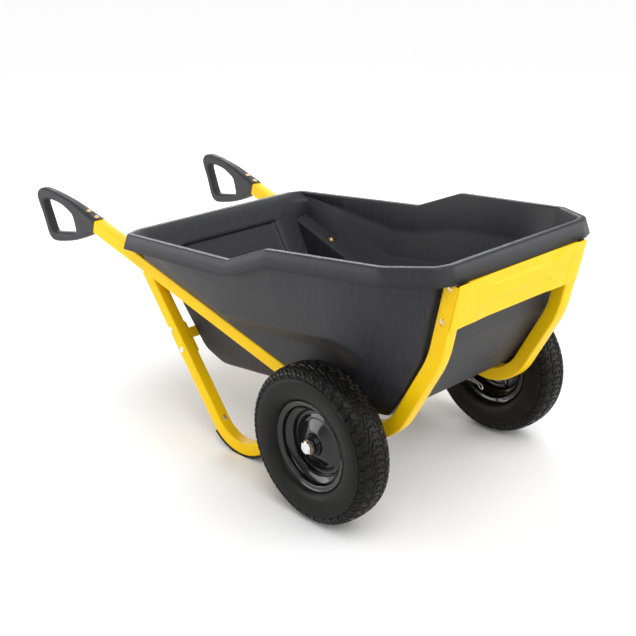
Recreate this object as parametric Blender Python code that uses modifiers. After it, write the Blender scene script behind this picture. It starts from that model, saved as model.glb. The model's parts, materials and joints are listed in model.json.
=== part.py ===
"""Garden cart: a poly tub in a bent square-tube frame, with two wheels, two V-shaped legs and
two loop grips.

Metres, +Z up. X runs across the cart, the nose faces -Y and the grips stand at +Y. "Right" is
the -X side and "left" the +X side, as the person who pushes sees them. Stations along the cart
are measured from the axle and the whole cart is moved by AXLE_Y to be centred on the origin.

Each side frame lies in an upright plane that toes in towards the nose. Its parts are drawn in
that plane: local x is measured outwards from the tube's outer face, local y along the plane
from the axle, and local z is height.
"""
import math

import bmesh
import bpy
from mathutils import Matrix, Vector

# Overall layout
AXLE_Y = -0.4745
SIDES = (("right", -1), ("left", 1))
GAP = 0.0003

# Side frame: square tube, and the line of its straight handle run
TUBE = 0.038
TUBE_WALL = 0.002
TUBE_CORNER = 0.005
FRAME_X = 0.2607
TOE_IN = 0.0625
HANDLE_SLOPE = 0.2937
HANDLE_AXIS_Z = 0.2316
NOSE_TOP = (-0.2959, 0.6500)
NOSE_BEND = (-0.2576, 0.4592)
NOSE_BEND_RADIUS = 0.250
LOW_BEND = (-0.1167, 0.1973)
LOW_BEND_RADIUS = 0.135
HANDLE_END_Y = 1.045

# Wheels
TYRE_RADIUS = 0.200
TYRE_HALF_WIDTH = 0.050
WHEEL_X = 0.3458
RIM_LIP_RADIUS = 0.1135
RIM_LIP_X = 0.032
BEAD_SEAT_RADIUS = 0.1015
WELL_RADIUS = 0.084
SHEET = 0.002
HUB_HALF_LENGTH = 0.0350
HUB_RADIUS = 0.0205
BEARING_RADIUS = 0.0175
BEARING_LENGTH = 0.011
BEARING_FLANGE = 0.0018
BEARING_FLANGE_RADIUS = 0.0195
AXLE_RADIUS = 0.0080
AXLE_FIT = 0.00006
AXLE_WASHER_RADIUS = 0.0165
AXLE_WASHER_THICKNESS = 0.002
AXLE_HEAD_FLATS = 0.029
AXLE_HEAD_HEIGHT = 0.007
AXLE_END_CHAMFER = 0.002
AXLE_INNER_END_X = 0.2030
SPACER_RADIUS = 0.0115
VALVE_RADIUS = 0.0030
VALVE_X = -0.0078
VALVE_SPAN = (0.058, 0.090)
VALVE_TURN = math.radians(150.0)
PIN_X = 0.2115
PIN_WIRE_RADIUS = 0.0014
PIN_RING = (-0.0460, 0.1880)
PIN_RING_RADIUS = 0.0075
PIN_RING_STEPS = 14
PIN_RING_START = math.radians(100.0)
PIN_RING_TURN = math.radians(286.0)
PIN_TAIL = 0.014
PIN_BOW = ((0.024, 0.69), (0.016, 0.75), (0.006, 1.0), (-0.006, 1.0), (-PIN_TAIL, 0.8))
STEPS_WHEEL = 32
STEPS_ROUND = 12
STEPS_AXLE = 24

# Tyre section: half of the outside and of the hollow, as (x, radius)
TYRE_OUTSIDE = (
    (0.0190, 0.1085), (0.0190, 0.1018), (0.0293, 0.1018), (0.0293, 0.1140), (0.0345, 0.1160),
    (0.0450, 0.1280), (TYRE_HALF_WIDTH, 0.1500), (0.0495, 0.1700), (0.0450, 0.1900),
    (0.0380, 0.1960), (0.0150, TYRE_RADIUS))
TYRE_HOLLOW = (
    (0.0150, 0.1880), (0.0340, 0.1850), (0.0410, 0.1700), (0.0430, 0.1500), (0.0380, 0.1320),
    (0.0280, 0.1200))

# Rim section, as (x, radius)
RIM_TYRE_SIDE = (
    (RIM_LIP_X, RIM_LIP_RADIUS), (RIM_LIP_X - SHEET, RIM_LIP_RADIUS),
    (RIM_LIP_X - SHEET, BEAD_SEAT_RADIUS), (0.0180, BEAD_SEAT_RADIUS), (0.0100, WELL_RADIUS))
RIM_HUB_SIDE = (
    (RIM_LIP_X, BEAD_SEAT_RADIUS - SHEET), (0.0190, BEAD_SEAT_RADIUS - SHEET),
    (0.0112, WELL_RADIUS - SHEET))
RIM_DISC = (
    (0.0150, HUB_RADIUS + GAP), (0.0150, 0.0320), (0.0035, 0.0600),
    (0.0035, WELL_RADIUS - SHEET))

# Axle bracket under the frame tube
BRACKET_SHEET = 0.0025
BRACKET_HALF_LENGTH = 0.024
BRACKET_TOP_Z = 0.228
BRACKET_BOTTOM_Z = 0.176

# Legs
LEG = 0.035
LEG_CORNER = 0.0045
LEG_SPLAY = 0.036
LEG_WALL = 0.002
LEG_REAR_TOP = (0.7643, 0.4650)
LEG_VERTEX = (0.3593, -0.0585)
LEG_FRONT_TOP = (0.1150, 0.2885)
LEG_BEND_RADIUS = 0.1175
TRIM_SPAN = (-0.3, 1.2)
TRIM_SIZE = (0.2, 0.4)
GROUND_CUTTER = ((-1.0, -1.0, -0.1), (1.0, 1.0, 0.0))
FOOT_PAD = 0.0055
FOOT_PAD_SWEEP = (math.radians(-34.0), math.radians(45.0))
STEPS_PAD = 12
FOOT_SCREW_Z = 0.0690
FOOT_SCREW_LIFT = 0.0008
FOOT_SCREW_LENGTH = 0.008

# Cross pieces
PLATE_BOTTOM_Z = 0.5400
PLATE_TOP_Z = 0.6512
PLATE_SHEET = 0.002
PLATE_FLANGE = 0.034
PLATE_EDGE_INSET = 0.002
BRACE_SHEET = 0.003
BRACE_Y = 0.6300
BRACE_Z = (0.2500, 0.2832)
BRACE_CENTRE_Z = 0.2640
BRACE_HALF_SPAN = 0.2675
BRACE_FLANGE_REACH = 0.045

# Fasteners: shank radius, head radius, head height
SMALL_BOLT = (0.0040, 0.0078, 0.0040)
GRIP_BOLT = (0.0030, 0.0070, 0.0035)
NUT_FLATS = 0.012
NUT_HEIGHT = 0.005
BOLT_TIP = 0.0025
BOLT_TIP_TAPER = 0.9
HEAD_DOME = ((0.55, 1.0), (0.85, 0.7))
CUT_PAST = 0.01
FRAME_BOLTS = ((-0.2930, 0.6415), (-0.2770, 0.5600))
GRIP_BOLT_YS = (0.9860, 1.0230)
TUB_BOLT_Y = 0.5985
BRACE_BOLTS = ((0.6400, 0.2895), (0.5947, 0.2424))

# Grips: outline and finger opening in the side plane
GRIP_SLEEVE = 0.0035
GRIP_MOUTH_Y = 0.9740
GRIP_MOUTH_WIDTH = 0.0450
GRIP_SLEEVE_END_Y = 1.0550
GRIP_NECK_WIDTH = 0.0420
GRIP_BAR_WIDTH = 0.0290
GRIP_OUTLINE = (
    (0.9900, 0.5400), (1.0310, 0.5560), (1.0776, 0.5700), (1.1139, 0.5775), (1.1345, 0.5805),
    (1.1763, 0.5865), (1.2193, 0.5885), (1.2371, 0.5865), (1.2550, 0.5780), (1.2635, 0.5608),
    (1.2560, 0.5386), (1.2425, 0.5110), (1.2300, 0.4790), (1.2180, 0.4480), (1.2030, 0.4325),
    (1.1800, 0.4295), (1.1132, 0.4440), (1.0693, 0.4570), (1.0257, 0.4745), (0.9840, 0.4980))
GRIP_OPENING = (
    (1.0702, 0.4866), (1.0721, 0.4965), (1.0839, 0.5300), (1.0954, 0.5367), (1.1230, 0.5479),
    (1.1515, 0.5553), (1.1896, 0.5585), (1.2200, 0.5560), (1.2295, 0.5480), (1.2105, 0.5000),
    (1.1890, 0.4600), (1.1757, 0.4570), (1.0748, 0.4780))

# Tub: lines are (x, station, height) points on one half, from the rear to the nose
TUB_WALL = 0.004
TUB_BOLT_GRIP = 0.0475
TUB_SOLIDIFY_OFFSET = 1.0
RIM_WIDTH = 0.011
SKIRT_FLARE = 0.013
SKIRT_HEIGHT = 0.038
LEDGE_CLEAR = 0.0045
LEDGE_INBOARD = 0.008
LEDGE_OUTBOARD = 0.0025
FLOOR_SLOPE = -0.111
FLOOR_FRONT = (-0.108, 0.2655)
FLOOR_REAR_Y = 0.505
FLOOR_HALF_WIDTH = 0.218
BILGE_RISE = 0.040
BILGE_HALF_WIDTH = 0.236
BILGE_REAR_Y = 0.572
BILGE_TUCK = 0.006
FLOOR_TUCK = 0.012
PANEL_SHARE = 0.5
LEDGE_LEAST_RISE = 0.014
NOSE_SQUEEZE_Y = -0.030
NOSE_SQUEEZE = 0.4
RIM_LINE = (
    (0.3360, 0.7820, 0.5428), (0.3610, 0.3140, 0.5856), (0.3665, 0.1648, 0.6490),
    (0.3400, -0.1825, 0.6836))
RIM_REAR = (0.2870, 0.8060, 0.5420)
RIM_NOSE_CORNER = (0.2790, -0.2835, 0.6929)
RIM_NOSE = (0.2380, -0.2975, 0.6937)
CREASE_LINE = (
    (0.3200, 0.7540, 0.5220), (0.3238, 0.3900, 0.4150), (0.3250, 0.2700, 0.4300),
    (0.3250, 0.0875, 0.4500), (0.3250, -0.0142, 0.4625), (0.3190, -0.0490, 0.4580),
    (0.3050, -0.0752, 0.4435), (0.2885, -0.0860, 0.4255))
WELL_LINE = (
    (0.3160, 0.7540, 0.5000), (0.3050, 0.3900, 0.3950), (0.2850, 0.2700, 0.3900),
    (0.2830, 0.0875, 0.4050), (0.2830, -0.0142, 0.4100), (0.2800, -0.0600, 0.3950),
    (0.2750, -0.0900, 0.3800))
SIDE_STATIONS = (
    (0.7820, 0.745), (0.6000, 0.600), (0.3900, 0.390), (0.3140, 0.300), (0.1648, 0.160),
    (0.0800, 0.080), (-0.0200, -0.0142), (-0.0750, -0.0490), (-0.1150, -0.0752),
    (-0.1450, -0.0860))
CHAMFER_LINE = (
    (0.3020, -0.1472, 0.5451), (0.2770, -0.0900, 0.4130), (0.2680, -0.0830, 0.3700),
    (0.2580, -0.0775, 0.3250), (0.2470, -0.0750, 0.2900), (0.2400, -0.0800, 0.2690))
CHAMFER_FLOOR = (0.2250, -0.0820)
REAR_WALL = ((0.7750, 0.5304), (0.7640, 0.5220), (0.7500, 0.5000), (0.7366, 0.4780),
             (0.7305, 0.4680), (0.5880, 0.2500))
REAR_WALL_HALF_WIDTHS = (0.2760, 0.2720, 0.2680, 0.2620, 0.2580, 0.2280)
REAR_FLOOR_HALF_WIDTH = 0.202
NOSE_WALL = ((-0.2660, 0.6400), (-0.2240, 0.4550), (-0.1790, 0.3680), (-0.1400, 0.3030),
             (-0.1220, 0.2800), (-0.1130, 0.2700))
NOSE_CORNER_HALF_WIDTHS = (0.2620, 0.2500, 0.2450, 0.2400, 0.2360, 0.2300)
NOSE_CORNER_FLOOR_HALF_WIDTH = 0.218
NOSE_HALF_WIDTHS = (0.2240, 0.2160, 0.2110, 0.2060, 0.2030, 0.1990)
NOSE_FLOOR_HALF_WIDTH = 0.190

collection = None
cutters = None


# Scene set-up and placing ------------------------------------------------------------------

def clear_scene():
    for thing in list(bpy.data.objects):
        bpy.data.objects.remove(thing, do_unlink=True)


def new_collection(name):
    made = bpy.data.collections.new(name)
    bpy.context.scene.collection.children.link(made)
    return made


def paint(obj, name, colour, metallic, roughness):
    """Give one object its own plain material."""
    material = bpy.data.materials.new(name)
    material.use_nodes = True
    shader = material.node_tree.nodes["Principled BSDF"]
    shader.inputs["Base Color"].default_value = (*colour, 1.0)
    shader.inputs["Metallic"].default_value = metallic
    shader.inputs["Roughness"].default_value = roughness
    obj.data.materials.clear()
    obj.data.materials.append(material)


def yellow(obj):
    paint(obj, obj.name + "_paint", (0.80, 0.52, 0.01), 0.0, 0.35)


def zinc(obj):
    paint(obj, obj.name + "_zinc", (0.62, 0.54, 0.36), 1.0, 0.35)


def black_steel(obj):
    paint(obj, obj.name + "_paint", (0.012, 0.012, 0.012), 0.2, 0.25)


def black_rubber(obj):
    paint(obj, obj.name + "_rubber", (0.02, 0.02, 0.02), 0.0, 0.8)


def charcoal_plastic(obj):
    paint(obj, obj.name + "_plastic", (0.055, 0.056, 0.060), 0.0, 0.55)


def grip_plastic(obj):
    paint(obj, obj.name + "_plastic", (0.03, 0.03, 0.032), 0.0, 0.6)


def add_object(name, data, into=None):
    obj = bpy.data.objects.new(name, data)
    (into or collection).objects.link(obj)
    return obj


def toe_angle(side):
    return -side * math.atan(TOE_IN)


def frame_plane(side):
    """The matrix that carries the side frame's own plane into the cart."""
    place = Matrix.Translation((side * FRAME_X, AXLE_Y, 0.0))
    return place @ Matrix.Rotation(toe_angle(side), 4, "Z")


def stand_in_frame_plane(obj, side, shift=0.0):
    """Set an object drawn in the side frame's own plane into the cart."""
    obj.matrix_world = frame_plane(side) @ Matrix.Translation((shift, 0.0, 0.0))


def stand_on_axle(obj, x=0.0):
    """Set an object drawn about the axle line into the cart."""
    obj.location = (x, AXLE_Y, TYRE_RADIUS)


# Shape helpers -----------------------------------------------------------------------------

def handle_axis_z(station):
    return HANDLE_AXIS_Z + HANDLE_SLOPE * station


def tube_top_z(station):
    return handle_axis_z(station) + TUBE / 2 * math.hypot(1.0, HANDLE_SLOPE)


def tube_bottom_z(station):
    return handle_axis_z(station) - TUBE / 2 * math.hypot(1.0, HANDLE_SLOPE)


def frame_outer_x(station):
    """Distance of the frame tube's outer face from the cart's centre line."""
    return FRAME_X + TOE_IN * station


def arc_path(points, radii, steps=7):
    """Corner points joined by straight runs, with each inner corner turned into an arc."""
    path = [Vector(points[0])]
    for before, corner, after, radius in zip(points, points[1:], points[2:], radii):
        corner = Vector(corner)
        back = (Vector(before) - corner).normalized()
        ahead = (Vector(after) - corner).normalized()
        half = back.angle(ahead) / 2
        centre = corner + (back + ahead).normalized() * radius / math.sin(half)
        start = corner + back * radius / math.tan(half) - centre
        finish = corner + ahead * radius / math.tan(half) - centre
        sweep = start.angle(finish)
        for index in range(steps):
            part = index / (steps - 1)
            weight_start = math.sin((1 - part) * sweep) / math.sin(sweep)
            weight_finish = math.sin(part * sweep) / math.sin(sweep)
            path.append(centre + start * weight_start + finish * weight_finish)
    path.append(Vector(points[-1]))
    return path


def square_ring(width, corner, steps=2):
    """Corner points of a rounded square, centred on the origin."""
    ring = []
    reach = width / 2 - corner
    for turn in range(4):
        middle = Vector((reach, reach))
        for index in range(steps + 1):
            angle = math.pi / 2 * index / steps
            point = middle + corner * Vector((math.cos(angle), math.sin(angle)))
            ring.append(Matrix.Rotation(turn * math.pi / 2, 2) @ point)
    return ring


def skin(name, rings, close_rings=True, close_ends=False, into=None):
    """A mesh through rings of equal length. Open ends are capped unless the rings join up."""
    shape = bmesh.new()
    rows = [[shape.verts.new(point) for point in ring] for ring in rings]
    pairs = list(zip(rows, rows[1:]))
    if close_ends:
        pairs.append((rows[-1], rows[0]))
    count = len(rings[0])
    for near, far in pairs:
        for index in range(count if close_rings else count - 1):
            after = (index + 1) % count
            shape.faces.new((near[index], near[after], far[after], far[index]))
    if close_rings and not close_ends:
        shape.faces.new(rows[0][::-1])
        shape.faces.new(rows[-1])
    bmesh.ops.recalc_face_normals(shape, faces=shape.faces)
    mesh = bpy.data.meshes.new(name)
    shape.to_mesh(mesh)
    shape.free()
    return add_object(name, mesh, into)


def square_tube(name, path, width, corner, side, wall):
    """An open-ended square tube along a path of (station, height) points."""
    outer = square_ring(width, corner)
    inner = square_ring(width - 2 * wall, corner - wall)
    shells = []
    for ring in (outer, inner):
        rows = []
        for index, point in enumerate(path):
            before = path[max(index - 1, 0)]
            after = path[min(index + 1, len(path) - 1)]
            ahead = (after - before).normalized()
            across = Vector((-ahead.y, ahead.x))
            stretch = 1.0
            if 0 < index < len(path) - 1:
                turn = (point - before).angle(after - point)
                stretch = 1.0 / math.cos(turn / 2)
            row = []
            for corner_point in ring:
                flat = point + across * corner_point.y * stretch
                row.append((side * (corner_point.x - width / 2), flat.x, flat.y))
            rows.append(row)
        shells.append(rows)
    outside, inside = shells
    return skin(name, outside + inside[::-1], close_ends=True)


def turned(name, profile, axis_x=0.0, steps=STEPS_WHEEL, closed=False, into=None):
    """Turn (x, radius) points about the X axis at axle height and station zero."""
    rings = []
    for x, radius in profile:
        ring = []
        for index in range(steps):
            angle = 2 * math.pi * index / steps
            ring.append((axis_x + x, radius * math.cos(angle), radius * math.sin(angle)))
        rings.append(ring)
    return skin(name, rings, close_ends=closed, into=into)


def round_ring(radius, z, steps=STEPS_ROUND):
    """Points of a circle about local Z."""
    turns = [2 * math.pi * index / steps for index in range(steps)]
    return [Vector((radius * math.cos(turn), radius * math.sin(turn), z)) for turn in turns]


def hex_ring(flats, z, steps=STEPS_ROUND):
    """Points of a hexagon about local Z, as many as the circles it joins."""
    ring = []
    for point in round_ring(1.0, z, steps):
        off_flat = (math.atan2(point.y, point.x) + math.pi / 6) % (math.pi / 3) - math.pi / 6
        reach = flats / 2 / math.cos(off_flat)
        ring.append(Vector((reach * point.x, reach * point.y, z)))
    return ring


def round_bar(name, radius, span, steps=STEPS_ROUND, into=None):
    """A bar along local Z between two heights."""
    return skin(name, [round_ring(radius, z, steps) for z in span], into=into)


def fastener(name, head, grip, nut=True):
    """A dome-headed bolt along local Z: head above the origin, nut below the grip length."""
    shank, head_radius, head_height = head
    under = -grip - GAP
    rings = [round_ring(head_radius * width, head_height * rise) for width, rise in HEAD_DOME]
    rings += [round_ring(head_radius, GAP), round_ring(shank, GAP), round_ring(shank, under)]
    if nut:
        rings += [hex_ring(NUT_FLATS, under), hex_ring(NUT_FLATS, under - NUT_HEIGHT),
                  round_ring(shank, under - NUT_HEIGHT),
                  round_ring(shank * BOLT_TIP_TAPER, under - NUT_HEIGHT - BOLT_TIP)]
    return skin(name, rings)


def aim(obj, point, outward, side):
    """Stand a fastener's head on a point of the side plane, facing the outward direction."""
    turn = Vector(outward).to_track_quat("Z", "Y").to_matrix().to_4x4()
    obj.matrix_world = frame_plane(side) @ Matrix.Translation(point) @ turn


def cut(obj, cutter):
    modifier = obj.modifiers.new("cut", "BOOLEAN")
    modifier.operation = "DIFFERENCE"
    modifier.solver = "EXACT"
    modifier.object = cutter
    cutter.hide_render = True
    cutter.display_type = "WIRE"


def join(obj, other):
    modifier = obj.modifiers.new("join", "BOOLEAN")
    modifier.operation = "UNION"
    modifier.solver = "EXACT"
    modifier.object = other
    other.hide_render = True
    other.display_type = "WIRE"


def hole_along(name, point, outward, side, radius, above, below):
    """A cutter for a bolt hole, standing like the bolt that aim() places."""
    obj = round_bar(name, radius, (above, -below), into=cutters)
    aim(obj, point, outward, side)
    return obj


def block(name, low, high, into=None):
    rings = []
    for z in (low[2], high[2]):
        rings.append([(low[0], low[1], z), (high[0], low[1], z),
                      (high[0], high[1], z), (low[0], high[1], z)])
    return skin(name, rings, into=into)


# Side frames -------------------------------------------------------------------------------

def frame_path():
    """Centre line of the side tube, from the nose end, round both bends, to the grip end."""
    handle_end = (HANDLE_END_Y, handle_axis_z(HANDLE_END_Y))
    corners = (NOSE_TOP, NOSE_BEND, LOW_BEND, handle_end)
    return arc_path(corners, (NOSE_BEND_RADIUS, LOW_BEND_RADIUS))


def frame_tube(word, side):
    tube = square_tube(word + "_frame_tube", frame_path(), TUBE, TUBE_CORNER, side, TUBE_WALL)
    stand_in_frame_plane(tube, side)
    yellow(tube)
    for index, (station, height) in enumerate(FRAME_BOLTS):
        name = f"{word}_plate_hole_{index}"
        cut(tube, hole_along(name, (0.0, station, height), (side, 0, 0), side,
                             SMALL_BOLT[0] + GAP, CUT_PAST, TUBE + CUT_PAST))
    for index, station in enumerate(GRIP_BOLT_YS):
        name = f"{word}_grip_hole_{index}"
        cut(tube, hole_along(name, grip_bolt_point(side, station), handle_up(), side,
                             GRIP_BOLT[0] + GAP, CUT_PAST, TUBE + 2 * CUT_PAST))
    cut(tube, hole_along(word + "_tub_hole", tub_bolt_point(side), handle_up(), side,
                         SMALL_BOLT[0] + GAP, CUT_PAST, TUBE + 3 * CUT_PAST))


def handle_up():
    """The direction square to the handle run, upwards, in the side plane."""
    return Vector((0.0, -HANDLE_SLOPE, 1.0)).normalized()


def grip_bolt_point(side, station):
    middle = Vector((-side * TUBE / 2, station, handle_axis_z(station)))
    return middle + handle_up() * (TUBE / 2 + GRIP_SLEEVE)


def tub_bolt_point(side):
    height = ledge_z(TUB_BOLT_Y) + GAP
    return Vector((-side * TUBE / 2, TUB_BOLT_Y, height))


def grip_outline(name, points, half_width, into=None):
    """A flat outline in the side plane, made thick across the cart and centred on the tube."""
    rings = [[(x, point[0], point[1]) for point in points] for x in (-half_width, half_width)]
    return skin(name, rings, into=into)


def grip(word, side):
    """A grip: a sleeve over the end of the side tube, drawn out into a closed loop."""
    loop = grip_outline(word + "_grip", GRIP_OUTLINE, GRIP_BAR_WIDTH / 2)
    reach = TUBE / 2 + GRIP_SLEEVE
    rings = []
    for station, width in ((GRIP_MOUTH_Y, GRIP_MOUTH_WIDTH), (GRIP_SLEEVE_END_Y, GRIP_NECK_WIDTH)):
        half = width / 2
        low = Vector((station, handle_axis_z(station))) - handle_up().yz * reach
        high = Vector((station, handle_axis_z(station))) + handle_up().yz * reach
        rings.append([(-half, low.x, low.y), (half, low.x, low.y),
                      (half, high.x, high.y), (-half, high.x, high.y)])
    sleeve = skin(word + "_grip_sleeve", rings, into=cutters)
    opening = grip_outline(word + "_grip_opening", GRIP_OPENING, TUBE, into=cutters)
    channel = square_ring(TUBE + 2 * GAP, TUBE_CORNER)
    rows = []
    for station in (GRIP_MOUTH_Y - CUT_PAST, HANDLE_END_Y + 2 * GAP):
        middle = Vector((0.0, station, handle_axis_z(station)))
        rows.append([middle + Vector((p.x, 0.0, 0.0)) + handle_up() * p.y for p in channel])
    socket = skin(word + "_grip_socket", rows, into=cutters)
    join(loop, sleeve)
    cut(loop, opening)
    cut(loop, socket)
    for obj in (loop, sleeve, opening, socket):
        stand_in_frame_plane(obj, side, -side * TUBE / 2)
    grip_plastic(loop)
    for index, station in enumerate(GRIP_BOLT_YS):
        point = grip_bolt_point(side, station)
        name = f"{word}_grip_bolt_{index + 1}"
        cut(loop, hole_along(name + "_hole", point, handle_up(), side,
                             GRIP_BOLT[0] + GAP, CUT_PAST, TUBE + 2 * CUT_PAST))
        bolt = fastener(name, GRIP_BOLT, GRIP_SLEEVE + TUBE_WALL, nut=False)
        aim(bolt, point, handle_up(), side)
        zinc(bolt)


# Legs --------------------------------------------------------------------------------------

def lean(obj, side):
    """Tip an object of the side plane outwards about the underside of the handle run."""
    pivot = Vector((0.0, 0.0, tube_bottom_z(0.0)))
    axis = Vector((0.0, 1.0, HANDLE_SLOPE)).normalized()
    turn = Matrix.Rotation(-side * math.atan(LEG_SPLAY), 4, axis)
    about_pivot = Matrix.Translation(pivot) @ turn @ Matrix.Translation(-pivot)
    obj.matrix_world = frame_plane(side) @ about_pivot @ obj.matrix_world


def above_tube_cutter(name, side):
    """Everything above the underside of the handle run, where a leg meets the tube."""
    half_width, height = TRIM_SIZE
    rings = []
    for station in TRIM_SPAN:
        low = tube_bottom_z(station) - GAP
        rings.append([(-half_width, station, low), (half_width, station, low),
                      (half_width, station, low + height), (-half_width, station, low + height)])
    obj = skin(name, rings, into=cutters)
    stand_in_frame_plane(obj, side)
    return obj


def leg(word, side):
    path = arc_path((LEG_REAR_TOP, LEG_VERTEX, LEG_FRONT_TOP), (LEG_BEND_RADIUS,), steps=9)
    tube = square_tube(word + "_leg", path, LEG, LEG_CORNER, side, LEG_WALL)
    lean(tube, side)
    cut(tube, above_tube_cutter(word + "_leg_trim", side))
    yellow(tube)
    screw_point = leg_point(side, FOOT_SCREW_Z, LEG / 2 + FOOT_SCREW_LIFT)
    for index, (station, height) in enumerate(BRACE_BOLTS):
        bolt_name = f"{word}_brace_bolt_{index + 1}"
        point = Vector((0.0, station, height))
        hole = hole_along(bolt_name + "_hole", (0, 0, 0), (side, 0, 0), side,
                          SMALL_BOLT[0] + GAP, CUT_PAST, LEG + 3 * CUT_PAST)
        set_in_leg_plane(hole, point, (side, 0, 0), side)
        cut(tube, hole)
        bolt = fastener(bolt_name, SMALL_BOLT, LEG + BRACE_SHEET + 2 * GAP)
        set_in_leg_plane(bolt, point, (side, 0, 0), side)
        zinc(bolt)
    forward = leg_forward()
    hole = hole_along(word + "_foot_screw_hole", (0, 0, 0), forward, side,
                      SMALL_BOLT[0] + GAP, CUT_PAST, LEG / 2)
    set_in_leg_plane(hole, screw_point, forward, side)
    cut(tube, hole)
    screw = fastener(word + "_foot_screw", SMALL_BOLT, FOOT_SCREW_LENGTH, nut=False)
    set_in_leg_plane(screw, screw_point, forward, side)
    zinc(screw)


def leg_forward():
    """The direction square to the rear arm of a leg, forwards and upwards."""
    arm = Vector((0.0, LEG_REAR_TOP[0] - LEG_VERTEX[0], LEG_REAR_TOP[1] - LEG_VERTEX[1]))
    return Vector((0.0, -arm.z, arm.y)).normalized()


def leg_point(side, height, forward):
    """A point on the rear arm's middle plane, a given distance forward of its centre line."""
    share = (height - LEG_VERTEX[1]) / (LEG_REAR_TOP[1] - LEG_VERTEX[1])
    station = LEG_VERTEX[0] + share * (LEG_REAR_TOP[0] - LEG_VERTEX[0])
    return Vector((-side * LEG / 2, station, height)) + leg_forward() * forward


def set_in_leg_plane(obj, point, outward, side):
    turn = Vector(outward).to_track_quat("Z", "Y").to_matrix().to_4x4()
    obj.matrix_world = Matrix.Translation(point) @ turn
    lean(obj, side)


def foot_pad(word, side):
    """A strip under the bend of a leg, with a flat where it stands on the floor."""
    middle = bend_centre()
    inner = LEG_BEND_RADIUS + LEG / 2 + GAP
    outer = inner + FOOT_PAD
    rings = []
    step_angle = (FOOT_PAD_SWEEP[1] - FOOT_PAD_SWEEP[0]) / STEPS_PAD
    for index in range(STEPS_PAD + 1):
        angle = FOOT_PAD_SWEEP[0] + index * step_angle
        ray = Vector((math.sin(angle), -math.cos(angle)))
        near = middle + ray * inner / math.cos(step_angle / 2)
        far = middle + ray * outer
        rings.append([(0.0, near.x, near.y), (-side * LEG, near.x, near.y),
                      (-side * LEG, far.x, far.y), (0.0, far.x, far.y)])
    pad = skin(word + "_foot_pad", rings)
    lean(pad, side)
    cut(pad, block(word + "_ground", *GROUND_CUTTER, into=cutters))
    black_rubber(pad)


def bend_centre():
    """Centre of the bend at the foot of a leg, as (station, height)."""
    vertex = Vector(LEG_VERTEX)
    rear = (Vector(LEG_REAR_TOP) - vertex).normalized()
    front = (Vector(LEG_FRONT_TOP) - vertex).normalized()
    half = rear.angle(front) / 2
    return vertex + (rear + front).normalized() * LEG_BEND_RADIUS / math.sin(half)


# Cross pieces ------------------------------------------------------------------------------

def leg_brace():
    """The strap between the legs: an upright web and a flange along the inside of each leg."""
    brace = None
    for word, side in SIDES:
        along = Vector((0.0, LEG_REAR_TOP[0] - LEG_VERTEX[0], LEG_REAR_TOP[1] - LEG_VERTEX[1]))
        along.normalize()
        across = leg_forward()
        centre = leg_point(side, BRACE_CENTRE_Z, 0.0)
        inner_x = -side * (LEG + GAP)
        rings = []
        for x in (inner_x, inner_x - side * BRACE_SHEET):
            ring = []
            for run, rise in ((-1, -1), (1, -1), (1, 1), (-1, 1)):
                point = centre + along * run * BRACE_FLANGE_REACH + across * rise * LEG / 2
                ring.append((x, point.y, point.z))
            rings.append(ring)
        name = "leg_brace" if brace is None else "leg_brace_left_flange"
        flange = skin(name, rings, into=None if brace is None else cutters)
        lean(flange, side)
        for index, (station, height) in enumerate(BRACE_BOLTS):
            hole = hole_along(f"{word}_brace_flange_hole_{index}", (0, 0, 0), (side, 0, 0), side,
                              SMALL_BOLT[0] + GAP, CUT_PAST, LEG + 3 * CUT_PAST)
            set_in_leg_plane(hole, Vector((0.0, station, height)), (side, 0, 0), side)
            cut(flange, hole)
        if brace is None:
            brace = flange
        else:
            join(brace, flange)
    low = (-BRACE_HALF_SPAN, BRACE_Y + AXLE_Y, BRACE_Z[0])
    high = (BRACE_HALF_SPAN, BRACE_Y + BRACE_SHEET + AXLE_Y, BRACE_Z[1])
    join(brace, block("leg_brace_web", low, high, into=cutters))
    yellow(brace)


def plate_line(height):
    """Station of the front face of the side tubes at a height near the nose."""
    share = (height - NOSE_BEND[1]) / (NOSE_TOP[1] - NOSE_BEND[1])
    rise = NOSE_TOP[1] - NOSE_BEND[1]
    lean_rate = (NOSE_TOP[0] - NOSE_BEND[0]) / rise
    middle = NOSE_BEND[0] + share * (NOSE_TOP[0] - NOSE_BEND[0])
    return middle - TUBE / 2 * math.hypot(1.0, lean_rate)


def front_plate():
    """The plate over the fronts of the tubes, with a flange along each tube's inner face."""
    section = []
    for height in (PLATE_BOTTOM_Z, PLATE_TOP_Z):
        tube_front = plate_line(height)
        rear = tube_front - GAP
        back = tube_front + PLATE_FLANGE
        edge = frame_outer_x(tube_front) - PLATE_EDGE_INSET
        root = frame_outer_x(tube_front) - TUBE - GAP
        tip = frame_outer_x(back) - TUBE - GAP
        ring = []
        for x, station in ((edge, rear - PLATE_SHEET), (edge, rear), (root, rear), (tip, back),
                           (tip - PLATE_SHEET, back), (root - PLATE_SHEET, rear)):
            ring.append((x, station + AXLE_Y, height))
        mirrored = [(-x, station, height) for x, station, height in ring[::-1]]
        section.append(ring + mirrored)
    plate = skin("front_plate", section)
    yellow(plate)
    for word, side in SIDES:
        for index, (station, height) in enumerate(FRAME_BOLTS):
            name = f"{word}_plate_bolt_{index + 1}"
            point = (0.0, station, height)
            cut(plate, hole_along(name + "_hole", point, (side, 0, 0), side,
                                  SMALL_BOLT[0] + GAP, CUT_PAST, TUBE + 2 * CUT_PAST))
            bolt = fastener(name, SMALL_BOLT, TUBE + PLATE_SHEET + 2 * GAP)
            aim(bolt, point, (side, 0, 0), side)
            zinc(bolt)


# Tub ---------------------------------------------------------------------------------------

def floor_z(station):
    """Height of the underside of the tub's floor."""
    return FLOOR_FRONT[1] + FLOOR_SLOPE * (station - FLOOR_FRONT[0])


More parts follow.
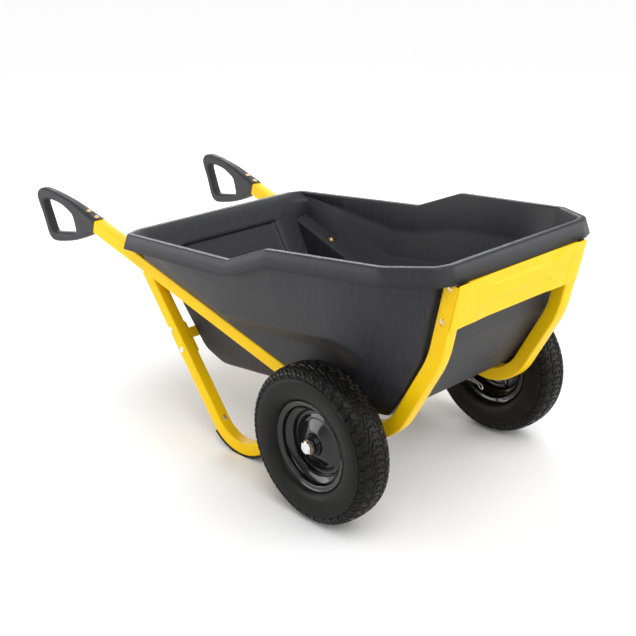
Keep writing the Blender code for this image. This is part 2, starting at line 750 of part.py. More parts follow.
def ledge_z(station):
    """Height of the underside of the ledge that rests over the side tube."""
    return tube_top_z(max(station, 0.0)) + LEDGE_CLEAR


def along_line(line, station):
    """The point of a line at a station. The line's points run towards the nose."""
    for near, far in zip(line, line[1:]):
        if station >= far[1] or far == line[-1]:
            share = (station - near[1]) / (far[1] - near[1])
            return Vector(near).lerp(Vector(far), share)
    return Vector(line[-1])


def side_column(rim_station, wall_station):
    """Points down the side of the tub at one station, from the rim to the floor's edge."""
    rim = along_line(RIM_LINE, rim_station)
    crease = along_line(CREASE_LINE, wall_station)
    panel = rim.lerp(crease, PANEL_SHARE)
    low_station = wall_station
    if wall_station < NOSE_SQUEEZE_Y:
        low_station = NOSE_SQUEEZE_Y + NOSE_SQUEEZE * (wall_station - NOSE_SQUEEZE_Y)
    well = along_line(WELL_LINE, low_station)
    outer = frame_outer_x(low_station) + LEDGE_OUTBOARD
    inner = frame_outer_x(low_station) - TUBE - LEDGE_INBOARD
    floor_y = min(low_station, FLOOR_REAR_Y)
    bilge_y = min(low_station, BILGE_REAR_Y)
    floor = floor_z(floor_y)
    ledge = max(ledge_z(low_station), floor + LEDGE_LEAST_RISE)
    bilge = floor + min(BILGE_RISE, 0.5 * (ledge - floor))
    bilge_x = min(BILGE_HALF_WIDTH, inner - BILGE_TUCK)
    return [rim, panel, crease, well, Vector((outer, low_station, ledge)),
            Vector((inner, low_station, ledge)),
            Vector((bilge_x, bilge_y, bilge)),
            Vector((min(FLOOR_HALF_WIDTH, bilge_x - FLOOR_TUCK), floor_y, floor))]


def wall_column(rim, wall, half_widths, floor_edge):
    """Points down the rear or nose wall, from the rim to the floor's edge."""
    points = [Vector(rim)]
    for half_width, (station, height) in zip(half_widths, wall):
        points.append(Vector((half_width, station, height)))
    points.append(Vector(floor_edge))
    return points


def tub_columns():
    """The columns of one half of the tub, from the middle of the rear to that of the nose."""
    rear_edge = (FLOOR_REAR_Y, floor_z(FLOOR_REAR_Y))
    on_middle = (0.0,) * len(REAR_WALL)
    columns = [
        wall_column((0.0, *RIM_REAR[1:]), REAR_WALL, on_middle, (0.0, *rear_edge)),
        wall_column(RIM_REAR, REAR_WALL, REAR_WALL_HALF_WIDTHS,
                    (REAR_FLOOR_HALF_WIDTH, *rear_edge))]
    columns += [side_column(*stations) for stations in SIDE_STATIONS]
    chamfer = (RIM_LINE[-1], *CHAMFER_LINE, (*CHAMFER_FLOOR, floor_z(CHAMFER_FLOOR[1])))
    columns.append([Vector(point) for point in chamfer])
    columns.append(wall_column(RIM_NOSE_CORNER, NOSE_WALL, NOSE_CORNER_HALF_WIDTHS,
                               (NOSE_CORNER_FLOOR_HALF_WIDTH, *FLOOR_FRONT)))
    columns.append(wall_column(RIM_NOSE, NOSE_WALL, NOSE_HALF_WIDTHS,
                               (NOSE_FLOOR_HALF_WIDTH, *FLOOR_FRONT)))
    columns.append(wall_column((0.0, *RIM_NOSE[1:]), NOSE_WALL, on_middle, (0.0, *FLOOR_FRONT)))
    return columns


def outward_at(columns, index):
    """The level direction square to the rim line at a column, away from the tub."""
    before = columns[max(index - 1, 0)][0]
    after = columns[min(index + 1, len(columns) - 1)][0]
    if index == 0 or index == len(columns) - 1:
        return Vector((0.0, 1.0 if index == 0 else -1.0, 0.0))
    along = after - before
    return Vector((-along.y, along.x, 0.0)).normalized()


def tub():
    """The moulded tub: a turned-down rim, a side panel, a ledge over each tube and a floor."""
    half = []
    columns = tub_columns()
    for index, column in enumerate(columns):
        outward = outward_at(columns, index)
        rim = column[0] - outward * TUB_WALL - Vector((0.0, 0.0, TUB_WALL))
        skirt = rim + outward * SKIRT_FLARE - Vector((0.0, 0.0, SKIRT_HEIGHT))
        lip = rim - outward * RIM_WIDTH
        half.append([skirt, rim, lip] + column[1:])
    other = [[Vector((-p.x, p.y, p.z)) for p in column] for column in half[1:-1][::-1]]
    around = half + other
    shape = bmesh.new()
    rows = [[shape.verts.new(point + Vector((0.0, AXLE_Y, 0.0))) for point in column]
            for column in around]
    for near, far in zip(rows, rows[1:] + rows[:1]):
        for index in range(len(near) - 1):
            shape.faces.new((near[index], far[index], far[index + 1], near[index + 1]))
    shape.faces.new([column[-1] for column in rows])
    bmesh.ops.recalc_face_normals(shape, faces=shape.faces)
    mesh = bpy.data.meshes.new("tub")
    shape.to_mesh(mesh)
    shape.free()
    obj = add_object("tub", mesh)
    thickness = obj.modifiers.new("wall", "SOLIDIFY")
    thickness.thickness = TUB_WALL
    thickness.offset = TUB_SOLIDIFY_OFFSET
    thickness.use_even_offset = False
    charcoal_plastic(obj)
    for word, side in SIDES:
        point = tub_bolt_point(side)
        name = word + "_tub_bolt"
        head_point = point + handle_up() * (TUB_WALL + 2 * GAP)
        cut(obj, hole_along(name + "_hole", point, handle_up(), side, SMALL_BOLT[0] + GAP,
                            3 * CUT_PAST, 3 * CUT_PAST))
        bolt = fastener(name, SMALL_BOLT, TUB_BOLT_GRIP)
        aim(bolt, head_point, handle_up(), side)
        zinc(bolt)


# Wheels and axles --------------------------------------------------------------------------

def wheel_ring(name, profile, side):
    """A closed profile of (x, radius) points turned about the wheel's axis."""
    ring = turned(name, [(side * x, radius) for x, radius in profile], closed=True)
    stand_on_axle(ring, side * WHEEL_X)
    return ring


def mirrored(half_profile):
    """The other half of a wheel section, running back the other way."""
    return [(-x, radius) for x, radius in half_profile[::-1]]


def tyre(word, side):
    outside = list(TYRE_OUTSIDE) + mirrored(TYRE_OUTSIDE)
    hollow = mirrored(TYRE_HOLLOW) + list(TYRE_HOLLOW)
    black_rubber(wheel_ring(word + "_tyre", outside + hollow, side))


def rim(word, side):
    """A stamped rim: lips, bead seats and well, with a coned disc out to the hub."""
    tyre_side = list(RIM_TYRE_SIDE) + mirrored(RIM_TYRE_SIDE)
    inner_hub_side = [(-x, radius) for x, radius in RIM_HUB_SIDE]
    disc_back = [(x - SHEET, radius) for x, radius in RIM_DISC[::-1]]
    profile = tyre_side + inner_hub_side + disc_back + list(RIM_DISC) + list(RIM_HUB_SIDE[::-1])
    ring = wheel_ring(word + "_rim", profile, side)
    hole = round_bar(word + "_valve_hole", VALVE_RADIUS + GAP, VALVE_SPAN, into=cutters)
    stand_valve(hole, side)
    cut(ring, hole)
    black_steel(ring)


def hub(word, side):
    bore = BEARING_RADIUS + GAP
    profile = [(-HUB_HALF_LENGTH, bore), (-HUB_HALF_LENGTH, HUB_RADIUS),
               (HUB_HALF_LENGTH, HUB_RADIUS), (HUB_HALF_LENGTH, bore)]
    black_steel(wheel_ring(word + "_hub", profile, side))


def bearings(word, side):
    """A flanged bearing in each end of the hub."""
    bore = AXLE_RADIUS + AXLE_FIT
    for place, facing in (("outer", 1), ("inner", -1)):
        face = HUB_HALF_LENGTH + GAP
        profile = [(face - BEARING_LENGTH, bore), (face - BEARING_LENGTH, BEARING_RADIUS),
                   (face, BEARING_RADIUS), (face, BEARING_FLANGE_RADIUS),
                   (face + BEARING_FLANGE, BEARING_FLANGE_RADIUS), (face + BEARING_FLANGE, bore)]
        name = f"{word}_{place}_bearing"
        black_steel(wheel_ring(name, [(facing * x, r) for x, r in profile], side))


def stand_valve(obj, side):
    """Set a valve part, drawn along local Z, on the rim's well above the axle."""
    obj.location = (side * (WHEEL_X + VALVE_X), AXLE_Y, TYRE_RADIUS)
    obj.rotation_euler = (VALVE_TURN, 0.0, 0.0)


def valve_stem(word, side):
    stem = round_bar(word + "_valve_stem", VALVE_RADIUS, VALVE_SPAN)
    stand_valve(stem, side)
    black_rubber(stem)


def axle_stack(word, side):
    """The axle bolt with its washer, spacer and hitch pin."""
    stack_x = WHEEL_X + HUB_HALF_LENGTH + BEARING_FLANGE + 2 * GAP
    washer = turned(word + "_axle_washer", [
        (side * stack_x, AXLE_RADIUS + AXLE_FIT), (side * stack_x, AXLE_WASHER_RADIUS),
        (side * (stack_x + AXLE_WASHER_THICKNESS), AXLE_WASHER_RADIUS),
        (side * (stack_x + AXLE_WASHER_THICKNESS), AXLE_RADIUS + AXLE_FIT)], closed=True)
    stand_on_axle(washer)
    zinc(washer)

    inner_face = WHEEL_X - HUB_HALF_LENGTH - BEARING_FLANGE - 2 * GAP
    cheek = FRAME_X + BRACKET_SHEET + SPACER_RADIUS * TOE_IN + 3 * GAP
    spacer = turned(word + "_axle_spacer", [
        (side * inner_face, AXLE_RADIUS + AXLE_FIT), (side * inner_face, SPACER_RADIUS),
        (side * cheek, SPACER_RADIUS), (side * cheek, AXLE_RADIUS + AXLE_FIT)], closed=True)
    stand_on_axle(spacer)
    zinc(spacer)

    head_x = stack_x + AXLE_WASHER_THICKNESS + GAP
    rings = [
        round_ring(AXLE_RADIUS - AXLE_END_CHAMFER, AXLE_INNER_END_X, STEPS_AXLE),
        round_ring(AXLE_RADIUS, AXLE_INNER_END_X + AXLE_END_CHAMFER, STEPS_AXLE),
        round_ring(AXLE_RADIUS, head_x, STEPS_AXLE),
        hex_ring(AXLE_HEAD_FLATS, head_x, STEPS_AXLE),
        hex_ring(AXLE_HEAD_FLATS, head_x + AXLE_HEAD_HEIGHT, STEPS_AXLE)]
    along_x = [[(side * point.z, point.x, point.y) for point in ring] for ring in rings]
    bolt = skin(word + "_axle_bolt", along_x)
    stand_on_axle(bolt)
    zinc(bolt)
    pin_hole = round_bar(word + "_pin_hole", PIN_WIRE_RADIUS + GAP,
                         (-2 * AXLE_RADIUS, 2 * AXLE_RADIUS), into=cutters)
    pin_hole.location = (side * PIN_X, AXLE_Y, TYRE_RADIUS)
    pin_hole.rotation_euler = (math.pi / 2 + pin_slope(), 0.0, 0.0)
    cut(bolt, pin_hole)
    hitch_pin(word, side)


def pin_slope():
    """The fall of the hitch pin from the axle to its ring, as an angle below level."""
    return math.atan2(TYRE_RADIUS - PIN_RING[1], -PIN_RING[0])


def hitch_pin(word, side):
    """A spring pin: a straight leg through the axle bolt, a ring, and a leg bowed round it."""
    reach = math.hypot(PIN_RING[0], PIN_RING[1] - TYRE_RADIUS)
    bow = AXLE_RADIUS + 2 * PIN_WIRE_RADIUS
    points = [(-PIN_TAIL, 0.0), (reach - PIN_RING_RADIUS / 2, 0.0)]
    centre = Vector((reach, -PIN_RING_RADIUS))
    for index in range(PIN_RING_STEPS):
        angle = PIN_RING_START - index * PIN_RING_TURN / (PIN_RING_STEPS - 1)
        points.append(centre + PIN_RING_RADIUS * Vector((math.cos(angle), math.sin(angle))))
    points += [(run, -bow * depth) for run, depth in PIN_BOW]
    curve = bpy.data.curves.new(word + "_hitch_pin", "CURVE")
    curve.dimensions = "3D"
    curve.bevel_depth = PIN_WIRE_RADIUS
    curve.bevel_resolution = 2
    curve.use_fill_caps = True
    spline = curve.splines.new("POLY")
    spline.points.add(len(points) - 1)
    slope = pin_slope()
    for point, (run, rise) in zip(spline.points, points):
        station = -run * math.cos(slope) + rise * math.sin(slope)
        height = -run * math.sin(slope) + rise * math.cos(slope)
        point.co = (0.0, station, height, 1.0)
    pin = add_object(word + "_hitch_pin", curve)
    stand_on_axle(pin, side * PIN_X)
    zinc(pin)


def axle_bracket(word, side):
    """A U of sheet steel round the underside of the tube: two cheeks and a web under the axle."""
    outer = GAP + BRACKET_SHEET
    inner = -TUBE - GAP - BRACKET_SHEET
    web_z = BRACKET_BOTTOM_Z + BRACKET_SHEET
    section = ((outer, BRACKET_TOP_Z), (outer, BRACKET_BOTTOM_Z), (inner, BRACKET_BOTTOM_Z),
               (inner, BRACKET_TOP_Z), (inner + BRACKET_SHEET, BRACKET_TOP_Z),
               (inner + BRACKET_SHEET, web_z), (GAP, web_z), (GAP, BRACKET_TOP_Z))
    rings = []
    for station in (-BRACKET_HALF_LENGTH, BRACKET_HALF_LENGTH):
        rings.append([(side * x, station, height) for x, height in section])
    bracket = skin(word + "_axle_bracket", rings)
    stand_in_frame_plane(bracket, side)
    bore = round_bar(word + "_axle_bore", AXLE_RADIUS + 2 * GAP, (-TUBE, TUBE), STEPS_AXLE,
                     into=cutters)
    bore.location = (side * (FRAME_X - TUBE / 2), AXLE_Y, TYRE_RADIUS)
    bore.rotation_euler = (0.0, math.pi / 2, 0.0)
    cut(bracket, bore)
    black_steel(bracket)


def wheel(word, side):
    tyre(word, side)
    rim(word, side)
    hub(word, side)
    bearings(word, side)
    valve_stem(word, side)


def main():
    global collection, cutters
    clear_scene()
    collection = new_collection("garden_cart")
    cutters = new_collection("cutters")
    cutters.hide_render = True
    tub()
    front_plate()
    leg_brace()
    for word, side in SIDES:
        frame_tube(word, side)
        leg(word, side)
        foot_pad(word, side)
        grip(word, side)
        axle_bracket(word, side)
        axle_stack(word, side)
        wheel(word, side)


main()
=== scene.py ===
"""Garden cart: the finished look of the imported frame, as a studio picture.

Every length is in metres. The frame's origin is on the floor under the middle of the cart, +X is
the cart's left side, the nose faces -Y and the grips stand at +Y. Stations along the cart are
measured from the axle line, and AXLE_Y carries them into the frame.
"""
import json
import math

import bmesh
import bpy
import numpy as np
from mathutils import Matrix, Vector


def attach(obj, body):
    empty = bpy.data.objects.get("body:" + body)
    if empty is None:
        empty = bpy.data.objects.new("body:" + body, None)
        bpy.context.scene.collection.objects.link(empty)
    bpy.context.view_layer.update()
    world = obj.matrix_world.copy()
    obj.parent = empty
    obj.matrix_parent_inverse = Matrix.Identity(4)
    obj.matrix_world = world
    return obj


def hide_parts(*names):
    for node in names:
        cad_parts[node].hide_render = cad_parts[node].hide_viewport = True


AXLE_Y = -0.4745
SIDES = (("right", -1), ("left", 1))

# Camera: place and axes of the view, and its focal length for a 36 mm wide image
CAMERA_PLACE = (-1.92108, -1.64339 + AXLE_Y, 1.42665)
CAMERA_RIGHT = (0.722235, -0.691645, -0.001757)
CAMERA_UP = (0.257249, 0.266267, 0.928937)
CAMERA_LENS = 60.84

# Studio: the surround is white up to HORIZON_TOP and fades to SKY_LEVEL at SKY_BOTTOM
FLOOR_SIZE = 40.0
SKY_LEVEL = 0.4
HORIZON_TOP = 0.08
SKY_BOTTOM = 0.32
OVERHEAD_STRENGTH = 2.4
OVERHEAD_AIM = (0.06, 0.5, -1.0)
OVERHEAD_SPREAD = math.radians(60.0)
# Soft boxes: name, place, target, size and power
SOFT_BOXES = (
    ("left_rear_panel", (-3.0, 2.9, 1.1), (0.0, 0.0, 0.4), (3.6, 1.8), 70.0),
    ("right_front_panel", (2.8, -3.4, 1.3), (0.0, -0.2, 0.4), (3.0, 1.8), 55.0),
    ("back_sheen", (2.4, 3.0, 2.0), (0.0, 0.0, 0.5), (3.4, 1.4), 85.0))

# Meshes
SHARP_ANGLE = math.radians(38.0)
CURVE_STEPS = 12
MOST_CUT = 0.45

# Side frame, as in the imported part
TUBE = 0.038
TUBE_WALL = 0.002
TUBE_CORNER = 0.0045
FRAME_X = 0.2607
TOE_IN = 0.0625
HANDLE_SLOPE = 0.2937
HANDLE_AXIS_Z = 0.2316
NOSE_TOP = (-0.2959, 0.65)
NOSE_BEND = (-0.2576, 0.4592)
NOSE_BEND_RADIUS = 0.25
LOW_BEND = (-0.1167, 0.1973)
LOW_BEND_RADIUS = 0.135
HANDLE_END_Y = 1.01

# Legs
LEG = 0.035
LEG_CORNER = 0.004
LEG_SPLAY = 0.036
LEG_WALL = 0.002
LEG_REAR_TOP = (0.745, 0.44)
LEG_VERTEX = (0.3593, -0.0585)
LEG_FRONT_TOP = (0.135, 0.2601)
LEG_BEND_RADIUS = 0.1175
FOOT_SCREW_Z = 0.069

# Cross pieces
PLATE_BOTTOM_Z = 0.54
PLATE_TOP_Z = 0.6512
PLATE_SHEET = 0.002
PLATE_FLANGE = 0.034
# The plate's face: a flared band stands out, with a joggle and a bead near each end
PLATE_COLUMNS = 120
PLATE_ROWS = 54
PLATE_RELIEF = 0.0034
PLATE_BAND = (0.5822, 0.6232)
PLATE_BAND_HALF_WIDTH = 0.108
PLATE_BAND_FLARE = 0.55
PLATE_BAND_FADE = 0.055
PLATE_BAND_SLOPE = 0.005
PLATE_STAND_OFF = 0.0022
PLATE_THINNEST = 0.0003
PLATE_CLEAR = 0.0002
PLATE_BACK = 0.006
PLATE_EDGE_INSET = 0.002
PLATE_EDGE_ROUNDING = 0.0006
PLATE_END_ROUNDING = 0.0008
PLATE_JOGGLE = 0.042
PLATE_JOGGLE_SLOPE = 0.006
PLATE_JOGGLE_DEPTH = 0.0012
PLATE_BEAD_X = 0.02604
PLATE_BEAD_WIDTH = 0.0022
PLATE_BEAD_HEIGHT = 0.0006
BRACE_SHEET = 0.003

# Fasteners: shank radius, head radius, head height
SMALL_BOLT = (0.004, 0.0078, 0.004)
GRIP_BOLT = (0.003, 0.007, 0.0035)
TUB_BOLT = (0.004, 0.0078, 0.0046)
GRIP_BOLT_LENGTH = 0.005
TUB_BOLT_LENGTH = 0.044
FOOT_SCREW_LENGTH = 0.008
GRIP_WALL = 0.0034
PIECE_GAP = 0.0006
# Dome head, from its socket outwards: shares of the head's radius and height
DOME_PROFILE = (
    (0.1, 0.86), (0.34, 0.86), (0.38, 1.0), (0.52, 0.97), (0.68, 0.86), (0.8, 0.66),
    (0.86, 0.42), (0.97, 0.34), (1.0, 0.24), (1.0, 0.0))
NUT_FLATS = 0.012
NUT_HEIGHT = 0.005
NUT_CHAMFERS = (0.0006, 0.0008)
CROWN_SHARE = 0.47
TIP_SHARE = 0.8
TIP_LENGTHS = (0.002, 0.0026)
SQUARE_WASHER = (0.017, 0.021, 0.0012)
RECESS_DEPTH = 0.0026
RECESS_HALF_SIZE = (0.011, 0.0145)
RECESS_CUT_TOP = 0.02
FRAME_BOLTS = ((-0.293, 0.6415), (-0.277, 0.56))
GRIP_BOLT_YS = (0.986, 1.023)
TUB_BOLT_Y = 0.5985
BRACE_BOLTS = ((0.64, 0.2895), (0.5947, 0.2424))

# Wheels
TYRE_RADIUS = 0.2
WHEEL_X = 0.3458
STEPS_TURNED = 96
TREAD_REPEATS = 38
TREAD_STEPS = 24
TREAD_ROWS = 96
TREAD_DEPTH = 0.0034
TREAD_EDGE_RADIUS = 0.176
# Shares across: the grooves set in this far outside the tread, and are full after the second
TREAD_FADE = (0.04, 0.03)
RIBS_PER_REPEAT = 3
GROOVE_HALF_WIDTH = 0.034
SIDEWALL_X = 0.04
# Rounds of the sidewall: radius, width and height
SIDEWALL_RIBS = (0.156, 0.0085, 0.00016)
SIDEWALL_BEAD = (0.1225, 0.0012, 0.0006)
SIDEWALL_STEP = (0.17, 0.0011, 0.0008)
TYRE_INSIDE = ((-0.029, 0.104), (-0.019, 0.103), (0.019, 0.103), (0.029, 0.104))
# Outer half of the tyre's section: distance from its middle, and radius
TYRE_PROFILE = (
    (0.0293, 0.113), (0.033, 0.115), (0.039, 0.1195), (0.045, 0.129), (0.0483, 0.142),
    (0.0495, 0.156), (0.0491, 0.169), (0.047, 0.18), (0.0429, 0.1885), (0.036, 0.1945),
    (0.024, 0.1983), (0.011, 0.1997), (0.0, 0.2))
# Tread grooves: start and end as (repeats round, share across), and share of the depth
TREAD_GROOVES = (
    ((0.1, 0.02), (0.9, 0.02), 0.9),
    ((0.0, 0.1), (0.0, 0.24), 1.0), ((0.0, 0.24), (0.36, 0.34), 1.0),
    ((0.36, 0.34), (0.24, 0.47), 1.0), ((0.24, 0.47), (0.56, 0.56), 1.0),
    ((0.46, 0.1), (0.46, 0.2), 0.6), ((0.46, 0.2), (0.76, 0.29), 0.6),
    ((0.76, 0.29), (0.66, 0.42), 0.6), ((0.56, 0.56), (0.4, 0.7), 1.0),
    ((0.4, 0.7), (0.9, 0.78), 1.0), ((0.9, 0.78), (0.9, 0.97), 1.0),
    ((0.9, 0.62), (1.4, 0.7), 1.0), ((0.2, 0.84), (0.52, 0.92), 0.8))
RIM_BARREL = (
    (0.0325, 0.1128), (0.0334, 0.1136), (0.0342, 0.1134), (0.0345, 0.1124), (0.0338, 0.111),
    (0.0322, 0.108), (0.0312, 0.103), (0.03, 0.1008), (0.028, 0.0998), (0.0205, 0.099),
    (0.017, 0.097), (0.0125, 0.0865), (0.0105, 0.0832), (0.008, 0.0822))
RIM_DISC = (
    (0.008, 0.0826), (0.002, 0.0818), (-0.0014, 0.08), (-0.0026, 0.0765), (-0.0018, 0.0715),
    (0.001, 0.0665), (0.0026, 0.0632), (0.003, 0.06), (0.0038, 0.058), (0.0078, 0.05),
    (0.013, 0.04), (0.016, 0.034), (0.0172, 0.0305), (0.0174, 0.0285), (0.0195, 0.0272),
    (0.0225, 0.0268), (0.0235, 0.0258), (0.0236, 0.024), (0.025, 0.0232), (0.0275, 0.0228),
    (0.0283, 0.022), (0.0284, 0.02))
RIM_SHEET = 0.0018
RIM_STEPS = 128
RIM_LIP_POINTS = 6
RIM_HIDDEN_SHARE = 0.97
HUB_PROFILE = ((-0.035, 0.017), (-0.035, 0.0195), (-0.0338, 0.0204), (0.0338, 0.0204),
               (0.035, 0.0195), (0.035, 0.017))
BEARING_PROFILE = ((0.024, 0.0083), (0.024, 0.0168), (0.0352, 0.0168), (0.0352, 0.019),
                   (0.0357, 0.0194), (0.0366, 0.0194), (0.0371, 0.0189), (0.0371, 0.0083))
WASHER_PROFILE = ((0.3832, 0.0084), (0.3832, 0.0162), (0.3835, 0.0165), (0.3847, 0.0165),
                  (0.385, 0.0162), (0.385, 0.0084))
AXLE_HEAD_FLATS = 0.029
AXLE_HEAD_SPAN = (0.3852, 0.392)
AXLE_HEAD_CHAMFERS = (0.0006, 0.0014)
AXLE_DISH = (0.8, 0.76, 0.0006)
AXLE_RADIUS = 0.008
AXLE_INNER_END_X = 0.203
AXLE_TIP = 0.002
AXLE_STEPS = 48

# Grips: outline and finger opening in the side plane
GRIP_WIDTH = 0.029
GRIP_MOUTH_WIDTH = 0.044
GRIP_MOUTH_Y = 0.974
GRIP_TAPER_END_Y = 1.135
GRIP_ROUNDING = 0.0085
GRIP_OUTLINE = (
    (0.94, 0.5285), (0.9677, 0.538), (1.031, 0.5565), (1.0776, 0.5695), (1.1139, 0.577),
    (1.1345, 0.5803), (1.1763, 0.5862), (1.2193, 0.5885), (1.2391, 0.5862), (1.256, 0.5765),
    (1.2632, 0.56), (1.257, 0.5386), (1.2435, 0.511), (1.231, 0.479), (1.2195, 0.449),
    (1.205, 0.4335), (1.18, 0.4297), (1.1132, 0.4437), (1.0693, 0.457), (1.0257, 0.4745),
    (0.993, 0.4905), (0.978, 0.4955), (0.94, 0.486))
GRIP_OPENING = (
    (1.0712, 0.487), (1.0735, 0.499), (1.079, 0.518), (1.085, 0.53), (1.098, 0.5375),
    (1.123, 0.5472), (1.1515, 0.5545), (1.1896, 0.5578), (1.214, 0.556), (1.2255, 0.548),
    (1.2255, 0.536), (1.2105, 0.5), (1.196, 0.466), (1.186, 0.4595), (1.17, 0.46),
    (1.09, 0.4755), (1.075, 0.4795))

# Tub
TUB_WALL = 0.004
RIM_WIDTH = 0.011
SKIRT_FLARE = 0.013
SKIRT_HEIGHT = 0.038
LEDGE_CLEAR = 0.0045
LEDGE_INBOARD = 0.008
LEDGE_OUTBOARD = 0.0025
LEDGE_LEAST_RISE = 0.014
FLOOR_SLOPE = -0.111
FLOOR_FRONT = (-0.108, 0.2655)
FLOOR_REAR_Y = 0.505
FLOOR_HALF_WIDTH = 0.218
FLOOR_INSET_ACROSS = 0.225
FLOOR_INSET_ALONG = 0.15
BILGE_RISE = 0.04
BILGE_HALF_WIDTH = 0.236
BILGE_REAR_Y = 0.572
BILGE_TUCK = 0.006
FLOOR_TUCK = 0.012
PANEL_SHARE = 0.5
REAR_PANEL_HALF_WIDTH = 0.18
REAR_PANEL_DEPTH = 0.011
REAR_PANEL_BEVEL = 0.008
REAR_PANEL_TOP = (0.0, -0.0095, -0.015)
REAR_PANEL_LEDGE = 0.0015
REAR_PANEL_LEDGE_SLOPE = 0.2
REAR_PANEL_LOW_SHARE = 0.62
REAR_PANEL_LOW_DEPTH = 0.8
# How far each corner is rounded: round the tub, and down its wall from skirt to floor
PLAN_CUT = 0.009
DOWN_CUTS = (0.0, 0.001, 0.0015, 0.01, 0.0055, 0.018, 0.0035, 0.0035, 0.02, 0.022, 0.0)
NOSE_SQUEEZE_Y = -0.03
NOSE_SQUEEZE = 0.4
# Lines along the tub's side as (x, station, z), from the rear to the nose
RIM_LINE = (
    (0.336, 0.782, 0.5428), (0.361, 0.314, 0.5856), (0.3665, 0.1648, 0.649),
    (0.34, -0.1825, 0.6836))
RIM_REAR = (0.287, 0.806, 0.542)
RIM_NOSE_CORNER = (0.279, -0.2835, 0.6924)
RIM_NOSE = (0.238, -0.2975, 0.6929)
CREASE_LINE = (
    (0.32, 0.754, 0.522), (0.3238, 0.39, 0.415), (0.325, 0.27, 0.43),
    (0.325, 0.0875, 0.45), (0.325, -0.0142, 0.4625), (0.319, -0.049, 0.458),
    (0.305, -0.0752, 0.4435), (0.2885, -0.086, 0.4255))
WELL_LINE = (
    (0.316, 0.754, 0.5), (0.305, 0.39, 0.395), (0.285, 0.27, 0.39),
    (0.283, 0.0875, 0.405), (0.283, -0.0142, 0.41), (0.28, -0.06, 0.395),
    (0.275, -0.09, 0.38))
SIDE_STATIONS = (
    (0.782, 0.745), (0.6, 0.6), (0.39, 0.39), (0.314, 0.3), (0.1648, 0.16),
    (0.08, 0.08), (-0.02, -0.0142), (-0.075, -0.049), (-0.115, -0.0752),
    (-0.145, -0.086))
CHAMFER_LINE = (
    (0.302, -0.1472, 0.5451), (0.277, -0.09, 0.413), (0.268, -0.083, 0.37),
    (0.258, -0.0775, 0.325), (0.247, -0.075, 0.29), (0.24, -0.08, 0.269))
CHAMFER_FLOOR = (0.225, -0.082)
# End walls as (station, z) from below the rim down, and the half width at each of those points
REAR_WALL = ((0.775, 0.5304), (0.764, 0.522), (0.75, 0.5), (0.7366, 0.478),
             (0.7305, 0.468), (0.588, 0.25))
REAR_WALL_HALF_WIDTHS = (0.276, 0.272, 0.268, 0.262, 0.258, 0.228)
REAR_FLOOR_HALF_WIDTH = 0.202
NOSE_WALL = ((-0.266, 0.64), (-0.224, 0.455), (-0.179, 0.368), (-0.14, 0.303),
             (-0.122, 0.28), (-0.113, 0.27))
NOSE_CORNER_HALF_WIDTHS = (0.262, 0.25, 0.245, 0.24, 0.236, 0.23)
NOSE_CORNER_FLOOR_HALF_WIDTH = 0.218
NOSE_HALF_WIDTHS = (0.224, 0.216, 0.211, 0.206, 0.203, 0.199)
NOSE_FLOOR_HALF_WIDTH = 0.19


# ---- Materials ----

def set_stops(ramp, stops):
    """Give a colour ramp its stops of (position, colour)."""
    elements = ramp.color_ramp.elements
    for position, _ in stops[1:-1]:
        elements.new(position)
    for element, (position, colour) in zip(elements, stops):
        element.position = position
        element.color = (*colour, 1.0)


class Shader:
    """Adds nodes to one material and links them, for short material functions."""

    def __init__(self, name, colour, metallic, roughness, shine=0.5):
        self.material = bpy.data.materials.new(name)
        self.material.use_nodes = True
        self.nodes = self.material.node_tree.nodes
        self.links = self.material.node_tree.links
        self.surface = self.nodes["Principled BSDF"]
        self.set_inputs(self.surface, Base_Color=(*colour, 1.0), Metallic=metallic,
                        Roughness=roughness, Specular_IOR_Level=shine)
        self.place = self.nodes.new("ShaderNodeTexCoord").outputs["Object"]

    def set_inputs(self, node, **values):
        """Set a node's inputs, whose names are written with _ in place of spaces."""
        for name, value in values.items():
            node.inputs[name.replace("_", " ")].default_value = value

    def stretched(self, scale):
        """Object coordinates scaled by a different amount on each axis."""
        mapping = self.nodes.new("ShaderNodeMapping")
        self.set_inputs(mapping, Scale=scale)
        self.links.new(self.place, mapping.inputs["Vector"])
        return mapping.outputs["Vector"]

    def noise(self, scale, detail=3.0, place=None, roughness=0.5):
        noise = self.nodes.new("ShaderNodeTexNoise")
        self.set_inputs(noise, Scale=scale, Detail=detail, Roughness=roughness)
        self.links.new(place or self.place, noise.inputs["Vector"])
        return noise.outputs["Fac"]

    def colour(self, value, stops):
        """The colour follows a value through stops of (position, colour)."""
        ramp = self.nodes.new("ShaderNodeValToRGB")
        set_stops(ramp, stops)
        self.links.new(value, ramp.inputs["Fac"])
        self.links.new(ramp.outputs["Color"], self.surface.inputs["Base Color"])

    def roughness(self, value, low, high):
        """The roughness follows a noise value, from low to high."""
        spread = self.nodes.new("ShaderNodeMapRange")
        self.set_inputs(spread, From_Min=0.3, From_Max=0.7, To_Min=low, To_Max=high)
        self.links.new(value, spread.inputs["Value"])
        self.links.new(spread.outputs["Result"], self.surface.inputs["Roughness"])

    def bump(self, height, distance, strength):
        bump = self.nodes.new("ShaderNodeBump")
        self.set_inputs(bump, Distance=distance, Strength=strength)
        self.links.new(height, bump.inputs["Height"])
        self.links.new(bump.outputs["Normal"], self.surface.inputs["Normal"])


def powder_coat():
    """Bright yellow powder coat with a faint orange-peel surface."""
    shader = Shader("yellow_powder_coat", (0.9, 0.56, 0.003), 0.0, 0.32, 0.16)
    tone = shader.noise(9.0, 2.0)
    shader.colour(tone, [(0.3, (0.88, 0.545, 0.002)), (0.7, (0.92, 0.58, 0.004))])
    shader.roughness(shader.noise(40.0), 0.3, 0.4)
    shader.bump(shader.noise(420.0, 2.0), 0.0003, 0.3)
    return shader.material


